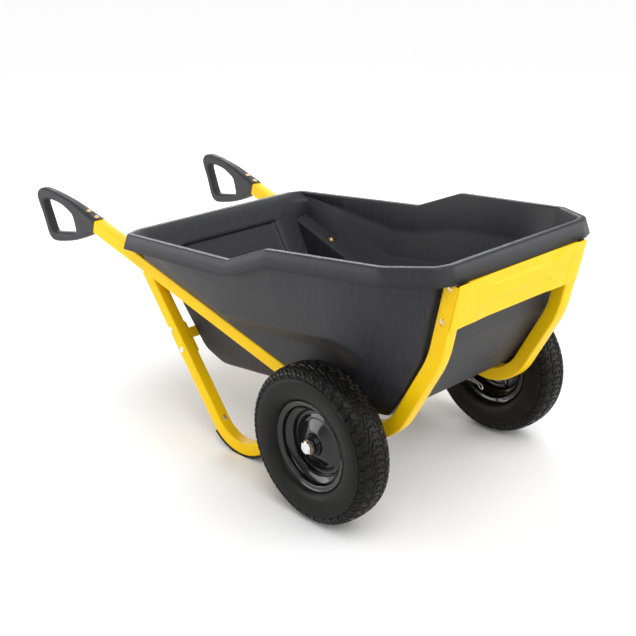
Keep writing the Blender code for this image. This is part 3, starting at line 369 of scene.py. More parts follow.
def tub_plastic():
    """Charcoal rotomoulded polyethylene with faint upright streaks."""
    shader = Shader("charcoal_poly", (0.04, 0.04, 0.043), 0.0, 0.42, 0.3)
    streak = shader.noise(9.0, 4.0, shader.stretched((16.0, 16.0, 0.5)), 0.6)
    shader.colour(streak, [(0.3, (0.02, 0.02, 0.023)), (0.5, (0.025, 0.025, 0.028)),
                           (0.74, (0.034, 0.034, 0.037))])
    shader.roughness(streak, 0.4, 0.54)
    shader.bump(shader.noise(900.0, 2.0), 0.0003, 0.4)
    return shader.material


def tyre_rubber():
    shader = Shader("tyre_rubber", (0.007, 0.007, 0.007), 0.0, 0.42, 0.17)
    dust = shader.noise(26.0, 5.0)
    shader.colour(dust, [(0.35, (0.003, 0.003, 0.003)), (0.75, (0.008, 0.007, 0.006))])
    shader.roughness(dust, 0.34, 0.46)
    shader.bump(shader.noise(1100.0, 2.0), 0.0002, 0.4)
    return shader.material


def black_enamel():
    """Gloss black enamel on the stamped rims."""
    shader = Shader("black_enamel", (0.004, 0.004, 0.004), 0.0, 0.1)
    shader.roughness(shader.noise(30.0), 0.08, 0.15)
    shader.bump(shader.noise(160.0, 2.0), 0.0002, 0.08)
    return shader.material


def grip_plastic():
    """Dark grey moulded grip with a fine pebbled skin."""
    shader = Shader("grip_plastic", (0.022, 0.022, 0.024), 0.0, 0.48, 0.25)
    pebble = shader.nodes.new("ShaderNodeTexVoronoi")
    shader.set_inputs(pebble, Scale=700.0)
    shader.links.new(shader.place, pebble.inputs["Vector"])
    tone = shader.noise(30.0, 3.0)
    shader.colour(tone, [(0.3, (0.024, 0.023, 0.026)), (0.7, (0.033, 0.032, 0.035))])
    shader.roughness(tone, 0.46, 0.6)
    shader.bump(pebble.outputs["Distance"], 0.0004, 0.4)
    return shader.material


def pad_rubber():
    shader = Shader("pad_rubber", (0.012, 0.012, 0.012), 0.0, 0.7, 0.2)
    tone = shader.noise(60.0, 4.0)
    shader.colour(tone, [(0.3, (0.014, 0.014, 0.014)), (0.7, (0.026, 0.025, 0.024))])
    shader.roughness(tone, 0.6, 0.78)
    shader.bump(shader.noise(900.0), 0.0002, 0.5)
    return shader.material


def metal(name, colour, dark, roughness):
    """Plated or turned steel with a slightly uneven tone."""
    shader = Shader(name, colour, 1.0, roughness)
    tone = shader.noise(120.0, 4.0)
    shader.colour(tone, [(0.32, dark), (0.68, colour)])
    shader.roughness(tone, roughness - 0.07, roughness + 0.1)
    shader.bump(shader.noise(600.0, 2.0), 0.0001, 0.3)
    return shader.material


def make_materials():
    return {
        "paint": powder_coat(),
        "tub": tub_plastic(),
        "tyre": tyre_rubber(),
        "rim": black_enamel(),
        "grip": grip_plastic(),
        "pad": pad_rubber(),
        "zinc": metal("bright_zinc", (0.82, 0.83, 0.84), (0.66, 0.66, 0.66), 0.34),
        "yellow_zinc": metal("yellow_zinc", (0.86, 0.62, 0.32), (0.6, 0.42, 0.2), 0.3),
        "dark_steel": metal("dark_steel", (0.2, 0.2, 0.2), (0.11, 0.11, 0.11), 0.35),
    }


# ---- Mesh helpers ----

def put_in_scene(name, data):
    obj = bpy.data.objects.new(name, data)
    bpy.context.scene.collection.objects.link(obj)
    return obj


def mesh_from(name, shape):
    """A mesh made from a bmesh, which is freed."""
    mesh = bpy.data.meshes.new(name)
    shape.to_mesh(mesh)
    shape.free()
    return mesh


def evaluated_mesh(obj):
    """A piece's mesh with its modifiers or curve settings applied."""
    bpy.context.view_layer.update()
    evaluated = obj.evaluated_get(bpy.context.evaluated_depsgraph_get())
    return bpy.data.meshes.new_from_object(evaluated)


def finished(name, shape, material, body, replaced, smooth=True):
    """A bmesh made into a piece that rides on a body and stands for its CAD nodes."""
    mesh = mesh_from(name, shape)
    mesh.materials.append(MATERIALS[material])
    for polygon in mesh.polygons:
        polygon.use_smooth = smooth
    obj = put_in_scene(name, mesh)
    if smooth:
        mesh.set_sharp_from_angle(angle=SHARP_ANGLE)
    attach(obj, body)
    if replaced:
        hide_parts(*replaced)
    return obj


def ring_mesh(rings, closed_ends=False, caps=True, loop=True):
    """A bmesh through rings of equal length."""
    shape = bmesh.new()
    rows = [[shape.verts.new(point) for point in ring] for ring in rings]
    pairs = list(zip(rows, rows[1:]))
    if closed_ends:
        pairs.append((rows[-1], rows[0]))
    count = len(rings[0])
    for near, far in pairs:
        for index in range(count if loop else count - 1):
            after = (index + 1) % count
            shape.faces.new((near[index], near[after], far[after], far[index]))
    if caps and not closed_ends:
        shape.faces.new(rows[0][::-1])
        shape.faces.new(rows[-1])
    bmesh.ops.recalc_face_normals(shape, faces=shape.faces)
    return shape


def rounded(points, cuts, steps, closed):
    """A line of points with each corner drawn as a soft curve that starts a cut's length away."""
    count = len(points)
    line = []
    for index, point in enumerate(points):
        if not closed and index in (0, count - 1):
            line.append(point.copy())
            continue
        back = points[index - 1] - point
        ahead = points[(index + 1) % count] - point
        cut = cuts[index]
        start = point + back * min(MOST_CUT, cut / max(back.length, 1e-6))
        finish = point + ahead * min(MOST_CUT, cut / max(ahead.length, 1e-6))
        for step in range(steps + 1):
            share = step / steps
            line.append(start.lerp(point, share).lerp(point.lerp(finish, share), share))
    return line


def arc_path(points, radii, steps):
    """Corner points joined by straight runs, with each inner corner turned into an arc."""
    path = [Vector(points[0])]
    for before, corner, after, radius in zip(points, points[1:], points[2:], radii):
        corner = Vector(corner)
        back = (Vector(before) - corner).normalized()
        ahead = (Vector(after) - corner).normalized()
        half = back.angle(ahead) / 2
        centre = corner + (back + ahead).normalized() * radius / math.sin(half)
        start = corner + back * radius / math.tan(half) - centre
        finish = corner + ahead * radius / math.tan(half) - centre
        sweep = start.angle(finish)
        for index in range(steps):
            share = index / (steps - 1)
            path.append(centre + start * math.sin((1 - share) * sweep) / math.sin(sweep)
                        + finish * math.sin(share * sweep) / math.sin(sweep))
    path.append(Vector(points[-1]))
    return path


def square_ring(width, corner, steps=5):
    """Corner points of a rounded square, centred on the origin."""
    ring = []
    reach = width / 2 - corner
    for turn in range(4):
        for index in range(steps + 1):
            angle = math.pi / 2 * index / steps
            point = Vector((reach, reach)) + corner * Vector((math.cos(angle), math.sin(angle)))
            ring.append(Matrix.Rotation(turn * math.pi / 2, 2) @ point)
    return ring


def circle(radius, height, steps=24):
    return [Vector((radius * math.cos(2 * math.pi * i / steps),
                    radius * math.sin(2 * math.pi * i / steps), height)) for i in range(steps)]


def hexagon(flats, height, steps=24):
    """A hexagon drawn with as many points as the circles it joins."""
    ring = []
    for index in range(steps):
        angle = 2 * math.pi * index / steps
        off_flat = (angle + math.pi / 6) % (math.pi / 3) - math.pi / 6
        reach = flats / 2 / math.cos(off_flat)
        ring.append(Vector((reach * math.cos(angle), reach * math.sin(angle), height)))
    return ring


def soft_curve(points, count, closed=False):
    """Evenly spaced points on a smooth curve through the given points."""
    size = len(points)
    dense = []
    for index in range(size if closed else size - 1):
        four = range(index - 1, index + 3)
        if not closed:
            four = [min(max(place, 0), size - 1) for place in four]
        before, start, finish, after = [Vector(points[place % size]) for place in four]
        for step in range(CURVE_STEPS):
            t = step / CURVE_STEPS
            dense.append(0.5 * (2 * start + (finish - before) * t
                                + (2 * before - 5 * start + 4 * finish - after) * t ** 2
                                + (3 * start - before - 3 * finish + after) * t ** 3))
    dense.append(Vector(points[0] if closed else points[-1]))
    lengths = [0.0]
    for near, far in zip(dense, dense[1:]):
        lengths.append(lengths[-1] + (far - near).length)
    even = []
    place = 0
    for index in range(count):
        target = lengths[-1] * index / (count if closed else count - 1)
        while place < len(lengths) - 2 and lengths[place + 1] < target:
            place += 1
        share = (target - lengths[place]) / (lengths[place + 1] - lengths[place])
        even.append(dense[place].lerp(dense[place + 1], min(share, 1.0)))
    return even


def turned_shape(profile, side, centre_x, steps=STEPS_TURNED):
    """A bmesh of (x, radius) points turned about the axle line, x measured outwards."""
    rings = []
    for x, radius in profile:
        ring = []
        for index in range(steps):
            angle = 2 * math.pi * index / steps
            ring.append((side * (centre_x + x), AXLE_Y + radius * math.sin(angle),
                         TYRE_RADIUS + radius * math.cos(angle)))
        rings.append(ring)
    return ring_mesh(rings, closed_ends=True)


def mirrored(profile):
    """A wheel section reflected to the inner side, running back the other way."""
    return [(-x, radius) for x, radius in profile[::-1]]


# ---- Places in the side frame ----

def frame_plane(side):
    """Carries a side frame's own plane into the cart: x outwards, y along, z up."""
    place = Matrix.Translation((side * FRAME_X, AXLE_Y, 0.0))
    return place @ Matrix.Rotation(-side * math.atan(TOE_IN), 4, "Z")


def leg_plane(side):
    """The side frame's plane tipped outwards about the underside of the handle run."""
    pivot = Vector((0.0, 0.0, tube_face_z(0.0, -1)))
    axis = Vector((0.0, 1.0, HANDLE_SLOPE)).normalized()
    turn = Matrix.Rotation(-side * math.atan(LEG_SPLAY), 4, axis)
    return frame_plane(side) @ Matrix.Translation(pivot) @ turn @ Matrix.Translation(-pivot)


def handle_z(station):
    return HANDLE_AXIS_Z + HANDLE_SLOPE * station


def tube_face_z(station, facing):
    """Height of the upper (1) or lower (-1) face of the handle run."""
    return handle_z(station) + facing * TUBE / 2 * math.hypot(1.0, HANDLE_SLOPE)


def frame_outer_x(station):
    return FRAME_X + TOE_IN * station


def handle_up():
    return Vector((0.0, -HANDLE_SLOPE, 1.0)).normalized()


def leg_up():
    """The direction up the rear arm of a leg."""
    return Vector((0.0, LEG_REAR_TOP[0] - LEG_VERTEX[0],
                   LEG_REAR_TOP[1] - LEG_VERTEX[1])).normalized()


def leg_forward():
    up = leg_up()
    return Vector((0.0, -up.z, up.y))


def leg_point(side, height, forward):
    """A point of the rear arm's middle plane, so far forward of its centre line."""
    up = leg_up()
    base = Vector((0.0, LEG_VERTEX[0], LEG_VERTEX[1]))
    point = base + up * (height - LEG_VERTEX[1]) / up.z
    return point + Vector((-side * LEG / 2, 0.0, 0.0)) + leg_forward() * forward


# ---- Frame pieces ----

def tube_rings(path, width, corner, side):
    rings = []
    outline = square_ring(width, corner)
    for index, point in enumerate(path):
        before = path[max(index - 1, 0)]
        after = path[min(index + 1, len(path) - 1)]
        ahead = (after - before).normalized()
        across = Vector((-ahead.y, ahead.x))
        ring = []
        for corner_point in outline:
            flat = point + across * corner_point.y
            ring.append((side * corner_point.x, flat.x, flat.y))
        rings.append(ring)
    return rings


def square_tube(name, path, width, corner, wall, side, plane, replaced):
    """An open-ended square tube whose outer face lies in the side plane."""
    outside = tube_rings(path, width, corner, side)
    inside = tube_rings(path, width - 2 * wall, corner - wall / 2, side)
    shape = ring_mesh(outside + inside[::-1], closed_ends=True)
    shift = Matrix.Translation((-side * width / 2, 0.0, 0.0))
    shape.transform(plane @ shift)
    return finished(name, shape, "paint", "frame", replaced)


def frame_tube(word, side):
    handle_end = (HANDLE_END_Y, handle_z(HANDLE_END_Y))
    path = arc_path((NOSE_TOP, NOSE_BEND, LOW_BEND, handle_end),
                    (NOSE_BEND_RADIUS, LOW_BEND_RADIUS), steps=24)
    square_tube(word + "_side_tube", path, TUBE, TUBE_CORNER, TUBE_WALL, side,
                frame_plane(side), [word + "_frame_tube"])


def leg(word, side):
    path = arc_path((LEG_REAR_TOP, LEG_VERTEX, LEG_FRONT_TOP), (LEG_BEND_RADIUS,), steps=32)
    square_tube(word + "_bent_leg", path, LEG, LEG_CORNER, LEG_WALL, side, leg_plane(side),
                [word + "_leg"])


# ---- Tub ----

def floor_z(station):
    return FLOOR_FRONT[1] + FLOOR_SLOPE * (station - FLOOR_FRONT[0])


def ledge_z(station):
    return tube_face_z(max(station, 0.0), 1) + LEDGE_CLEAR


def along_line(line, station):
    """The point of a line at a station. The line's points run towards the nose."""
    for near, far in zip(line, line[1:]):
        if station >= far[1] or far == line[-1]:
            share = (station - near[1]) / (far[1] - near[1])
            return Vector(near).lerp(Vector(far), share)


def side_column(rim_station, wall_station):
    """Points down the side of the tub at one station, from the rim to the floor's edge."""
    low_station = wall_station
    if wall_station < NOSE_SQUEEZE_Y:
        low_station = NOSE_SQUEEZE_Y + NOSE_SQUEEZE * (wall_station - NOSE_SQUEEZE_Y)
    outer = frame_outer_x(low_station) + LEDGE_OUTBOARD
    inner = frame_outer_x(low_station) - TUBE - LEDGE_INBOARD
    floor_y = min(low_station, FLOOR_REAR_Y)
    bilge_y = min(low_station, BILGE_REAR_Y)
    floor = floor_z(floor_y)
    ledge = max(ledge_z(low_station), floor + LEDGE_LEAST_RISE)
    bilge = floor + min(BILGE_RISE, 0.5 * (ledge - floor))
    bilge_x = min(BILGE_HALF_WIDTH, inner - BILGE_TUCK)
    rim = along_line(RIM_LINE, rim_station)
    crease = along_line(CREASE_LINE, wall_station)
    return [rim, rim.lerp(crease, PANEL_SHARE), crease, along_line(WELL_LINE, low_station),
            Vector((outer, low_station, ledge)), Vector((inner, low_station, ledge)),
            Vector((bilge_x, bilge_y, bilge)),
            Vector((min(FLOOR_HALF_WIDTH, bilge_x - FLOOR_TUCK), floor_y, floor))]


def wall_column(rim, wall, half_widths, floor_edge):
    """Points down the rear or nose wall, from the rim to the floor's edge."""
    between = [(half_width, *point) for half_width, point in zip(half_widths, wall)]
    return [Vector(point) for point in (rim, *between, floor_edge)]


def rear_panel_column(half_width, depth):
    """A column of the rear wall inside its recessed panel, or at the panel's edge."""
    rim, panel, crease, well, _, inner, bilge = [
        Vector((half_width, *point)) for point in (RIM_REAR[1:], *REAR_WALL)]
    step = well + Vector(REAR_PANEL_TOP)
    below = step + Vector((0.0, depth, -REAR_PANEL_LEDGE - REAR_PANEL_LEDGE_SLOPE * depth))
    low_edge = inner.lerp(bilge, REAR_PANEL_LOW_SHARE)
    low_edge.y += depth * REAR_PANEL_LOW_DEPTH
    return [rim, panel, crease, step, below, low_edge, bilge,
            Vector((half_width, FLOOR_REAR_Y, floor_z(FLOOR_REAR_Y)))]


def tub_columns():
    """The columns of one half of the tub, from the middle of the rear to that of the nose."""
    rear_edge = (FLOOR_REAR_Y, floor_z(FLOOR_REAR_Y))
    on_middle = (0.0,) * len(REAR_WALL)
    columns = [rear_panel_column(0.0, REAR_PANEL_DEPTH),
               rear_panel_column(REAR_PANEL_HALF_WIDTH - REAR_PANEL_BEVEL, REAR_PANEL_DEPTH),
               rear_panel_column(REAR_PANEL_HALF_WIDTH, 0.0),
               wall_column(RIM_REAR, REAR_WALL, REAR_WALL_HALF_WIDTHS,
                           (REAR_FLOOR_HALF_WIDTH, *rear_edge))]
    columns += [side_column(*stations) for stations in SIDE_STATIONS]
    chamfer = (RIM_LINE[-1], *CHAMFER_LINE, (*CHAMFER_FLOOR, floor_z(CHAMFER_FLOOR[1])))
    columns.append([Vector(point) for point in chamfer])
    columns.append(wall_column(RIM_NOSE_CORNER, NOSE_WALL, NOSE_CORNER_HALF_WIDTHS,
                               (NOSE_CORNER_FLOOR_HALF_WIDTH, *FLOOR_FRONT)))
    columns.append(wall_column(RIM_NOSE, NOSE_WALL, NOSE_HALF_WIDTHS,
                               (NOSE_FLOOR_HALF_WIDTH, *FLOOR_FRONT)))
    columns.append(wall_column((0.0, *RIM_NOSE[1:]), NOSE_WALL, on_middle, (0.0, *FLOOR_FRONT)))
    return columns


def outward_at(columns, index):
    """The level direction square to the rim line at a column, away from the tub."""
    if index == 0 or index == len(columns) - 1:
        return Vector((0.0, 1.0 if index == 0 else -1.0, 0.0))
    along = columns[index + 1][0] - columns[index - 1][0]
    return Vector((-along.y, along.x, 0.0)).normalized()


def tub_half():
    """The columns of one half, from the skirt over the rim to a point in on the floor."""
    half = []
    columns = tub_columns()
    middle_y = (FLOOR_REAR_Y + FLOOR_FRONT[0]) / 2
    for index, column in enumerate(columns):
        outward = outward_at(columns, index)
        rim = column[0] - outward * TUB_WALL - Vector((0.0, 0.0, TUB_WALL))
        skirt = rim + outward * SKIRT_FLARE - Vector((0.0, 0.0, SKIRT_HEIGHT))
        lip = rim - outward * RIM_WIDTH
        edge = column[-1]
        inset_x = edge.x * (1.0 - FLOOR_INSET_ACROSS)
        inset_y = edge.y + (middle_y - edge.y) * FLOOR_INSET_ALONG
        inset = Vector((inset_x, inset_y, floor_z(inset_y)))
        half.append([skirt, rim, lip] + column[1:] + [inset])
    return half


def tub():
    """The moulded tub: its rounded outer surface, given its wall on the inner side."""
    half = tub_half()
    other = [[Vector((-p.x, p.y, p.z)) for p in column] for column in half[1:-1][::-1]]
    around = half + other
    plan_cuts = [PLAN_CUT] * len(around)
    soft_rings = [rounded(ring, plan_cuts, 3, True) for ring in zip(*around)]
    soft_columns = [rounded(column, DOWN_CUTS, 4, False) for column in zip(*soft_rings)]
    shape = ring_mesh(soft_columns, closed_ends=True, caps=False, loop=False)
    shape.verts.ensure_lookup_table()
    per_column = len(soft_columns[0])
    floor_ring = [shape.verts[i * per_column + per_column - 1] for i in range(len(soft_columns))]
    shape.faces.new(floor_ring)
    bmesh.ops.recalc_face_normals(shape, faces=shape.faces)
    floor_face = max(shape.faces, key=lambda face: len(face.verts))
    if floor_face.normal.z < 0:
        bmesh.ops.reverse_faces(shape, faces=shape.faces)
    shape.transform(Matrix.Translation((0.0, AXLE_Y, 0.0)))
    obj = finished("poly_tub", shape, "tub", "frame", ["tub"])
    wall = obj.modifiers.new("wall", "SOLIDIFY")
    wall.thickness = TUB_WALL
    wall.offset = 1.0
    wall.use_even_offset = False
    return obj


def box_shape(low, high, matrix):
    """A box between two corners, drawn in the given matrix's axes."""
    shape = bmesh.new()
    bmesh.ops.create_cube(shape, size=1.0)
    for vertex in shape.verts:
        vertex.co = Vector([low[i] + (high[i] - low[i]) * (vertex.co[i] + 0.5) for i in range(3)])
    shape.transform(matrix)
    return shape


def cut_box(obj, low, high, matrix):
    """Cut a box out of a piece."""
    name = obj.name + "_cut"
    cutter = put_in_scene(name, mesh_from(name, box_shape(low, high, matrix)))
    modifier = obj.modifiers.new("recess", "BOOLEAN")
    modifier.operation = "DIFFERENCE"
    modifier.solver = "EXACT"
    modifier.object = cutter
    cut_mesh = evaluated_mesh(obj)
    obj.modifiers.clear()
    obj.data = cut_mesh
    bpy.data.objects.remove(cutter)


def tub_recess(obj, side):
    """The recess in the ledge that a tub bolt sits in."""
    across, along = RECESS_HALF_SIZE
    cut_box(obj, (-across, -along, -RECESS_DEPTH), (across, along, RECESS_CUT_TOP),
            tub_bolt_matrix(side))


# ---- Plate ----

def plate_station(height):
    """Station of the front face of the side tubes at a height near the nose."""
    lean = (NOSE_TOP[0] - NOSE_BEND[0]) / (NOSE_TOP[1] - NOSE_BEND[1])
    middle = NOSE_BEND[0] + lean * (height - NOSE_BEND[1])
    return middle - TUBE / 2 * math.hypot(1.0, lean)


def plate_relief(across, height, half):
    """How far the plate's face lies behind its foremost level at a point."""
    beyond = max(0.0, abs(across) - PLATE_BAND_HALF_WIDTH)
    low = PLATE_BAND[0] - PLATE_BAND_FLARE * beyond
    high = PLATE_BAND[1] + PLATE_BAND_FLARE * beyond
    inside = min(height - low, high - height)
    fade = 1.0 - min(1.0, beyond / PLATE_BAND_FADE)
    recess = fade * (1.0 - soft_step(0.5 + inside / PLATE_BAND_SLOPE))
    from_end = half - abs(across)
    joggle = soft_step((from_end - PLATE_JOGGLE) / PLATE_JOGGLE_SLOPE)
    bead = math.exp(-((from_end - PLATE_BEAD_X) / PLATE_BEAD_WIDTH) ** 2)
    return (PLATE_RELIEF * recess + PLATE_JOGGLE_DEPTH * joggle
            + PLATE_BEAD_HEIGHT * (1.0 - bead))


def soft_step(value):
    value = min(1.0, max(0.0, value))
    return value * value * (3 - 2 * value)


def front_plate():
    """The embossed plate over the fronts of the tubes, with its two side flanges."""
    rings = []
    for row in range(PLATE_ROWS + 1):
        height = PLATE_BOTTOM_Z + (PLATE_TOP_Z - PLATE_BOTTOM_Z) * row / PLATE_ROWS
        rounding = PLATE_EDGE_ROUNDING if row in (0, PLATE_ROWS) else 0.0
        tube_front = plate_station(height)
        front = tube_front - PLATE_STAND_OFF
        half = frame_outer_x(tube_front) - PLATE_EDGE_INSET
        root = frame_outer_x(tube_front) - TUBE - PIECE_GAP
        tip = frame_outer_x(tube_front + PLATE_FLANGE) - TUBE - PIECE_GAP
        face = []
        for column in range(PLATE_COLUMNS + 1):
            across = half * (2 * column / PLATE_COLUMNS - 1)
            rounded_end = PLATE_END_ROUNDING if column in (0, PLATE_COLUMNS) else 0.0
            inset = plate_relief(across, height, half)
            if abs(across) >= root - PLATE_SHEET:
                inset = min(inset, PLATE_STAND_OFF - PLATE_THINNEST)
            face.append(Vector((across, front + inset + rounding + rounded_end, height)))
        back = []
        for side in (1, -1):
            outside = (side * half, tube_front - PLATE_CLEAR, height)
            corner = (side * root, tube_front - PLATE_CLEAR, height)
            end = (side * tip, tube_front + PLATE_FLANGE, height)
            end_inner = (side * (tip - PLATE_SHEET), tube_front + PLATE_FLANGE, height)
            inner = (side * (root - PLATE_SHEET), tube_front + PLATE_BACK, height)
            chain = [Vector(point) for point in (outside, corner, end, end_inner, inner)]
            back += chain if side == 1 else chain[::-1]
        rings.append([point + Vector((0.0, AXLE_Y, 0.0)) for point in face + back])
    finished("embossed_plate", ring_mesh(rings), "paint", "frame", ["front_plate"])


# ---- Grips ----

def grip(word, side):
    """A moulded grip: rounded bars round a finger opening, widening to its square mouth."""
    curve = bpy.data.curves.new(word + "_grip_outline", "CURVE")
    curve.dimensions = "2D"
    curve.fill_mode = "BOTH"
    curve.extrude = GRIP_WIDTH / 2 - GRIP_ROUNDING
    curve.bevel_depth = GRIP_ROUNDING
    curve.bevel_resolution = 6
    curve.offset = -GRIP_ROUNDING
    for outline, count in ((GRIP_OUTLINE, 150), (GRIP_OPENING, 90)):
        spline = curve.splines.new("POLY")
        points = soft_curve([(y, z, 0.0) for y, z in outline], count, closed=True)
        spline.points.add(count - 1)
        for spline_point, point in zip(spline.points, points):
            spline_point.co = (point.x, point.y, 0.0, 1.0)
        spline.use_cyclic_u = True
    flat = put_in_scene(word + "_grip_outline", curve)
    mesh = evaluated_mesh(flat)
    bpy.data.objects.remove(flat)
    shape = bmesh.new()
    shape.from_mesh(mesh)
    bmesh.ops.remove_doubles(shape, verts=shape.verts, dist=0.00002)
    for vertex in shape.verts:
        station, height, across = vertex.co
        share = (GRIP_TAPER_END_Y - station) / (GRIP_TAPER_END_Y - GRIP_MOUTH_Y)
        share = min(1.0, max(0.0, share))
        widen = 1.0 + (GRIP_MOUTH_WIDTH / GRIP_WIDTH - 1.0) * share
        vertex.co = Vector((-side * TUBE / 2 + across * widen, station, height))
    along = Vector((0.0, 1.0, HANDLE_SLOPE)).normalized()
    mouth = Vector((0.0, GRIP_MOUTH_Y, handle_z(GRIP_MOUTH_Y)))
    cut = bmesh.ops.bisect_plane(shape, geom=shape.verts[:] + shape.edges[:] + shape.faces[:],
                                 plane_co=mouth, plane_no=along, clear_inner=True)
    edges = [item for item in cut["geom_cut"] if isinstance(item, bmesh.types.BMEdge)]
    bmesh.ops.edgenet_fill(shape, edges=edges)
    bmesh.ops.recalc_face_normals(shape, faces=shape.faces)
    shape.transform(frame_plane(side))
    finished(word + "_loop_grip", shape, "grip", "frame", [word + "_grip"])


# ---- Fasteners ----

def dome_bolt(name, sizes, grip_length, matrix, material, replaced, nut=True):
    """A flanged dome-head bolt along local Z, with a hexagon nut at the far end."""
    shank, head, height = sizes
    under = -grip_length
    rings = [circle(head * share, height * rise) for share, rise in DOME_PROFILE]
    rings += [circle(shank, 0.0), circle(shank, under)]
    if nut:
        low = under - NUT_HEIGHT
        crown = NUT_FLATS * CROWN_SHARE
        rings += [circle(crown, under), hexagon(NUT_FLATS, under - NUT_CHAMFERS[0]),
                  hexagon(NUT_FLATS, low + NUT_CHAMFERS[1]), circle(crown, low),
                  circle(shank, low), circle(shank, low - TIP_LENGTHS[0]),
                  circle(shank * TIP_SHARE, low - TIP_LENGTHS[1])]
    shape = ring_mesh(rings)
    shape.transform(matrix)
    finished(name, shape, material, "frame", replaced)


def aimed(plane, point, outward):
    turn = Vector(outward).to_track_quat("Z", "Y").to_matrix().to_4x4()
    return plane @ Matrix.Translation(point) @ turn


def through_bolts(word, side, kind, plane, places, thickness, material):
    """The bolts that hold the plate or the brace, right through their tube."""
    for index, place in enumerate(places, 1):
        dome_bolt(f"{word}_{kind}_screw_{index}", SMALL_BOLT, thickness + PIECE_GAP,
                  aimed(plane, (0.0, *place), (side, 0.0, 0.0)), material,
                  [f"{word}_{kind}_bolt_{index}"])


def grip_bolts(word, side):
    for index, station in enumerate(GRIP_BOLT_YS, 1):
        middle = Vector((-side * TUBE / 2, station, handle_z(station)))
        point = middle + handle_up() * (TUBE / 2 + GRIP_WALL)
        dome_bolt(f"{word}_grip_screw_{index}", GRIP_BOLT, GRIP_BOLT_LENGTH,
                  aimed(frame_plane(side), point, handle_up()), "yellow_zinc",
                  [f"{word}_grip_bolt_{index}"], nut=False)


def fasteners(word, side):
    leg_side = leg_plane(side)
    through_bolts(word, side, "plate", frame_plane(side), FRAME_BOLTS, TUBE + PLATE_SHEET,
                  "yellow_zinc")
    grip_bolts(word, side)
    through_bolts(word, side, "brace", leg_side, BRACE_BOLTS, LEG + BRACE_SHEET, "zinc")
    dome_bolt(f"{word}_foot_bolt", SMALL_BOLT, FOOT_SCREW_LENGTH,
              aimed(leg_side, leg_point(side, FOOT_SCREW_Z, LEG / 2), leg_forward()),
              "yellow_zinc", [f"{word}_foot_screw"], nut=False)


def tub_bolt_matrix(side):
    """Stands on the ledge over a side tube, with Z square to the handle run."""
    point = Vector((-side * TUBE / 2, TUB_BOLT_Y, ledge_z(TUB_BOLT_Y)))
    return aimed(frame_plane(side), point + handle_up() * TUB_WALL, handle_up())


def tub_bolt(word, side):
    """The brass-plated bolt and square washer that sit in a recess of the ledge."""
    width, length, thickness = SQUARE_WASHER
    recess_floor = tub_bolt_matrix(side) @ Matrix.Translation((0.0, 0.0, -RECESS_DEPTH))
    dome_bolt(f"{word}_ledge_bolt", TUB_BOLT, TUB_BOLT_LENGTH,
              recess_floor @ Matrix.Translation((0.0, 0.0, thickness)),
              "yellow_zinc", [f"{word}_tub_bolt"])
    shape = box_shape((-width / 2, -length / 2, 0.0), (width / 2, length / 2, thickness),
                      recess_floor)
    finished(f"{word}_ledge_washer", shape, "yellow_zinc", "frame", None, smooth=False)


# ---- Wheels ----

def groove_depth(turns, across):
    """Depth from 0 to 1 of the tread's grooves, at turns in repeats and a place across."""
    depth = np.zeros(np.broadcast(turns, across).shape)
    for (start_u, start_w), (end_u, end_w), weight in TREAD_GROOVES:
        for shift in (-1.0, 0.0, 1.0):
            run_u = end_u - start_u
            run_w = end_w - start_w
            scale = 1.0 / (run_u ** 2 + run_w ** 2)
            part = ((turns - start_u - shift) * run_u + (across - start_w) * run_w) * scale
            part = np.clip(part, 0.0, 1.0)
            far_u = turns - start_u - shift - part * run_u
            far_w = across - start_w - part * run_w
            distance = np.hypot(far_u, far_w)
            level = np.clip(2.0 - distance / GROOVE_HALF_WIDTH, 0.0, 1.0)
            depth = np.maximum(depth, weight * level * level * (3 - 2 * level))
    return depth


def tyre_section():
    """Points round the outside of the tyre's section, and the outward direction at each."""
    half = soft_curve([(x, radius, 0.0) for x, radius in TYRE_PROFILE], TREAD_ROWS)
    profile = half + [Vector((-point.x, point.y, 0.0)) for point in half[-2::-1]]
    x = np.array([point.x for point in profile])
    radius = np.array([point.y for point in profile])
    normal_x = np.gradient(radius)
    normal_r = -np.gradient(x)
    size = np.hypot(normal_x, normal_r)
    if normal_r[TREAD_ROWS] < 0:
        size = -size
    return x, radius, normal_x / size, normal_r / size


def swell(radius, shape, power=2):
    """A smooth round of the sidewall, from its radius, width and height."""
    middle, width, height = shape
    return height * np.exp(-((radius - middle) / width) ** power)


def tyre_relief(x, radius, turns):
    """How far each point of the tyre stands out, by its place in the section and round it."""
    lengths = np.concatenate([[0.0], np.cumsum(np.hypot(np.diff(x), np.diff(radius)))])
    middle = TREAD_ROWS - 1
    edge = np.argmax(radius[:middle] > TREAD_EDGE_RADIUS)
    across = 1.0 - np.abs(lengths - lengths[middle]) / (lengths[middle] - lengths[edge])
    hand = np.where(x < 0, 0.5, 0.0)
    local = (turns[None, :] + hand[:, None]) % 1.0
    on_tread = np.clip((across + TREAD_FADE[0]) / TREAD_FADE[1], 0.0, 1.0)[:, None]
    tread = -TREAD_DEPTH * groove_depth(local, across[:, None]) * on_tread
    on_sidewall = np.abs(x) > SIDEWALL_X
    ribbed = swell(radius, SIDEWALL_RIBS, power=4) * on_sidewall
    ribs = ribbed[:, None] * np.cos(2 * math.pi * RIBS_PER_REPEAT * turns)[None, :]
    step = swell(radius, SIDEWALL_STEP) * on_sidewall
    return tread + ribs + (swell(radius, SIDEWALL_BEAD) - step)[:, None]


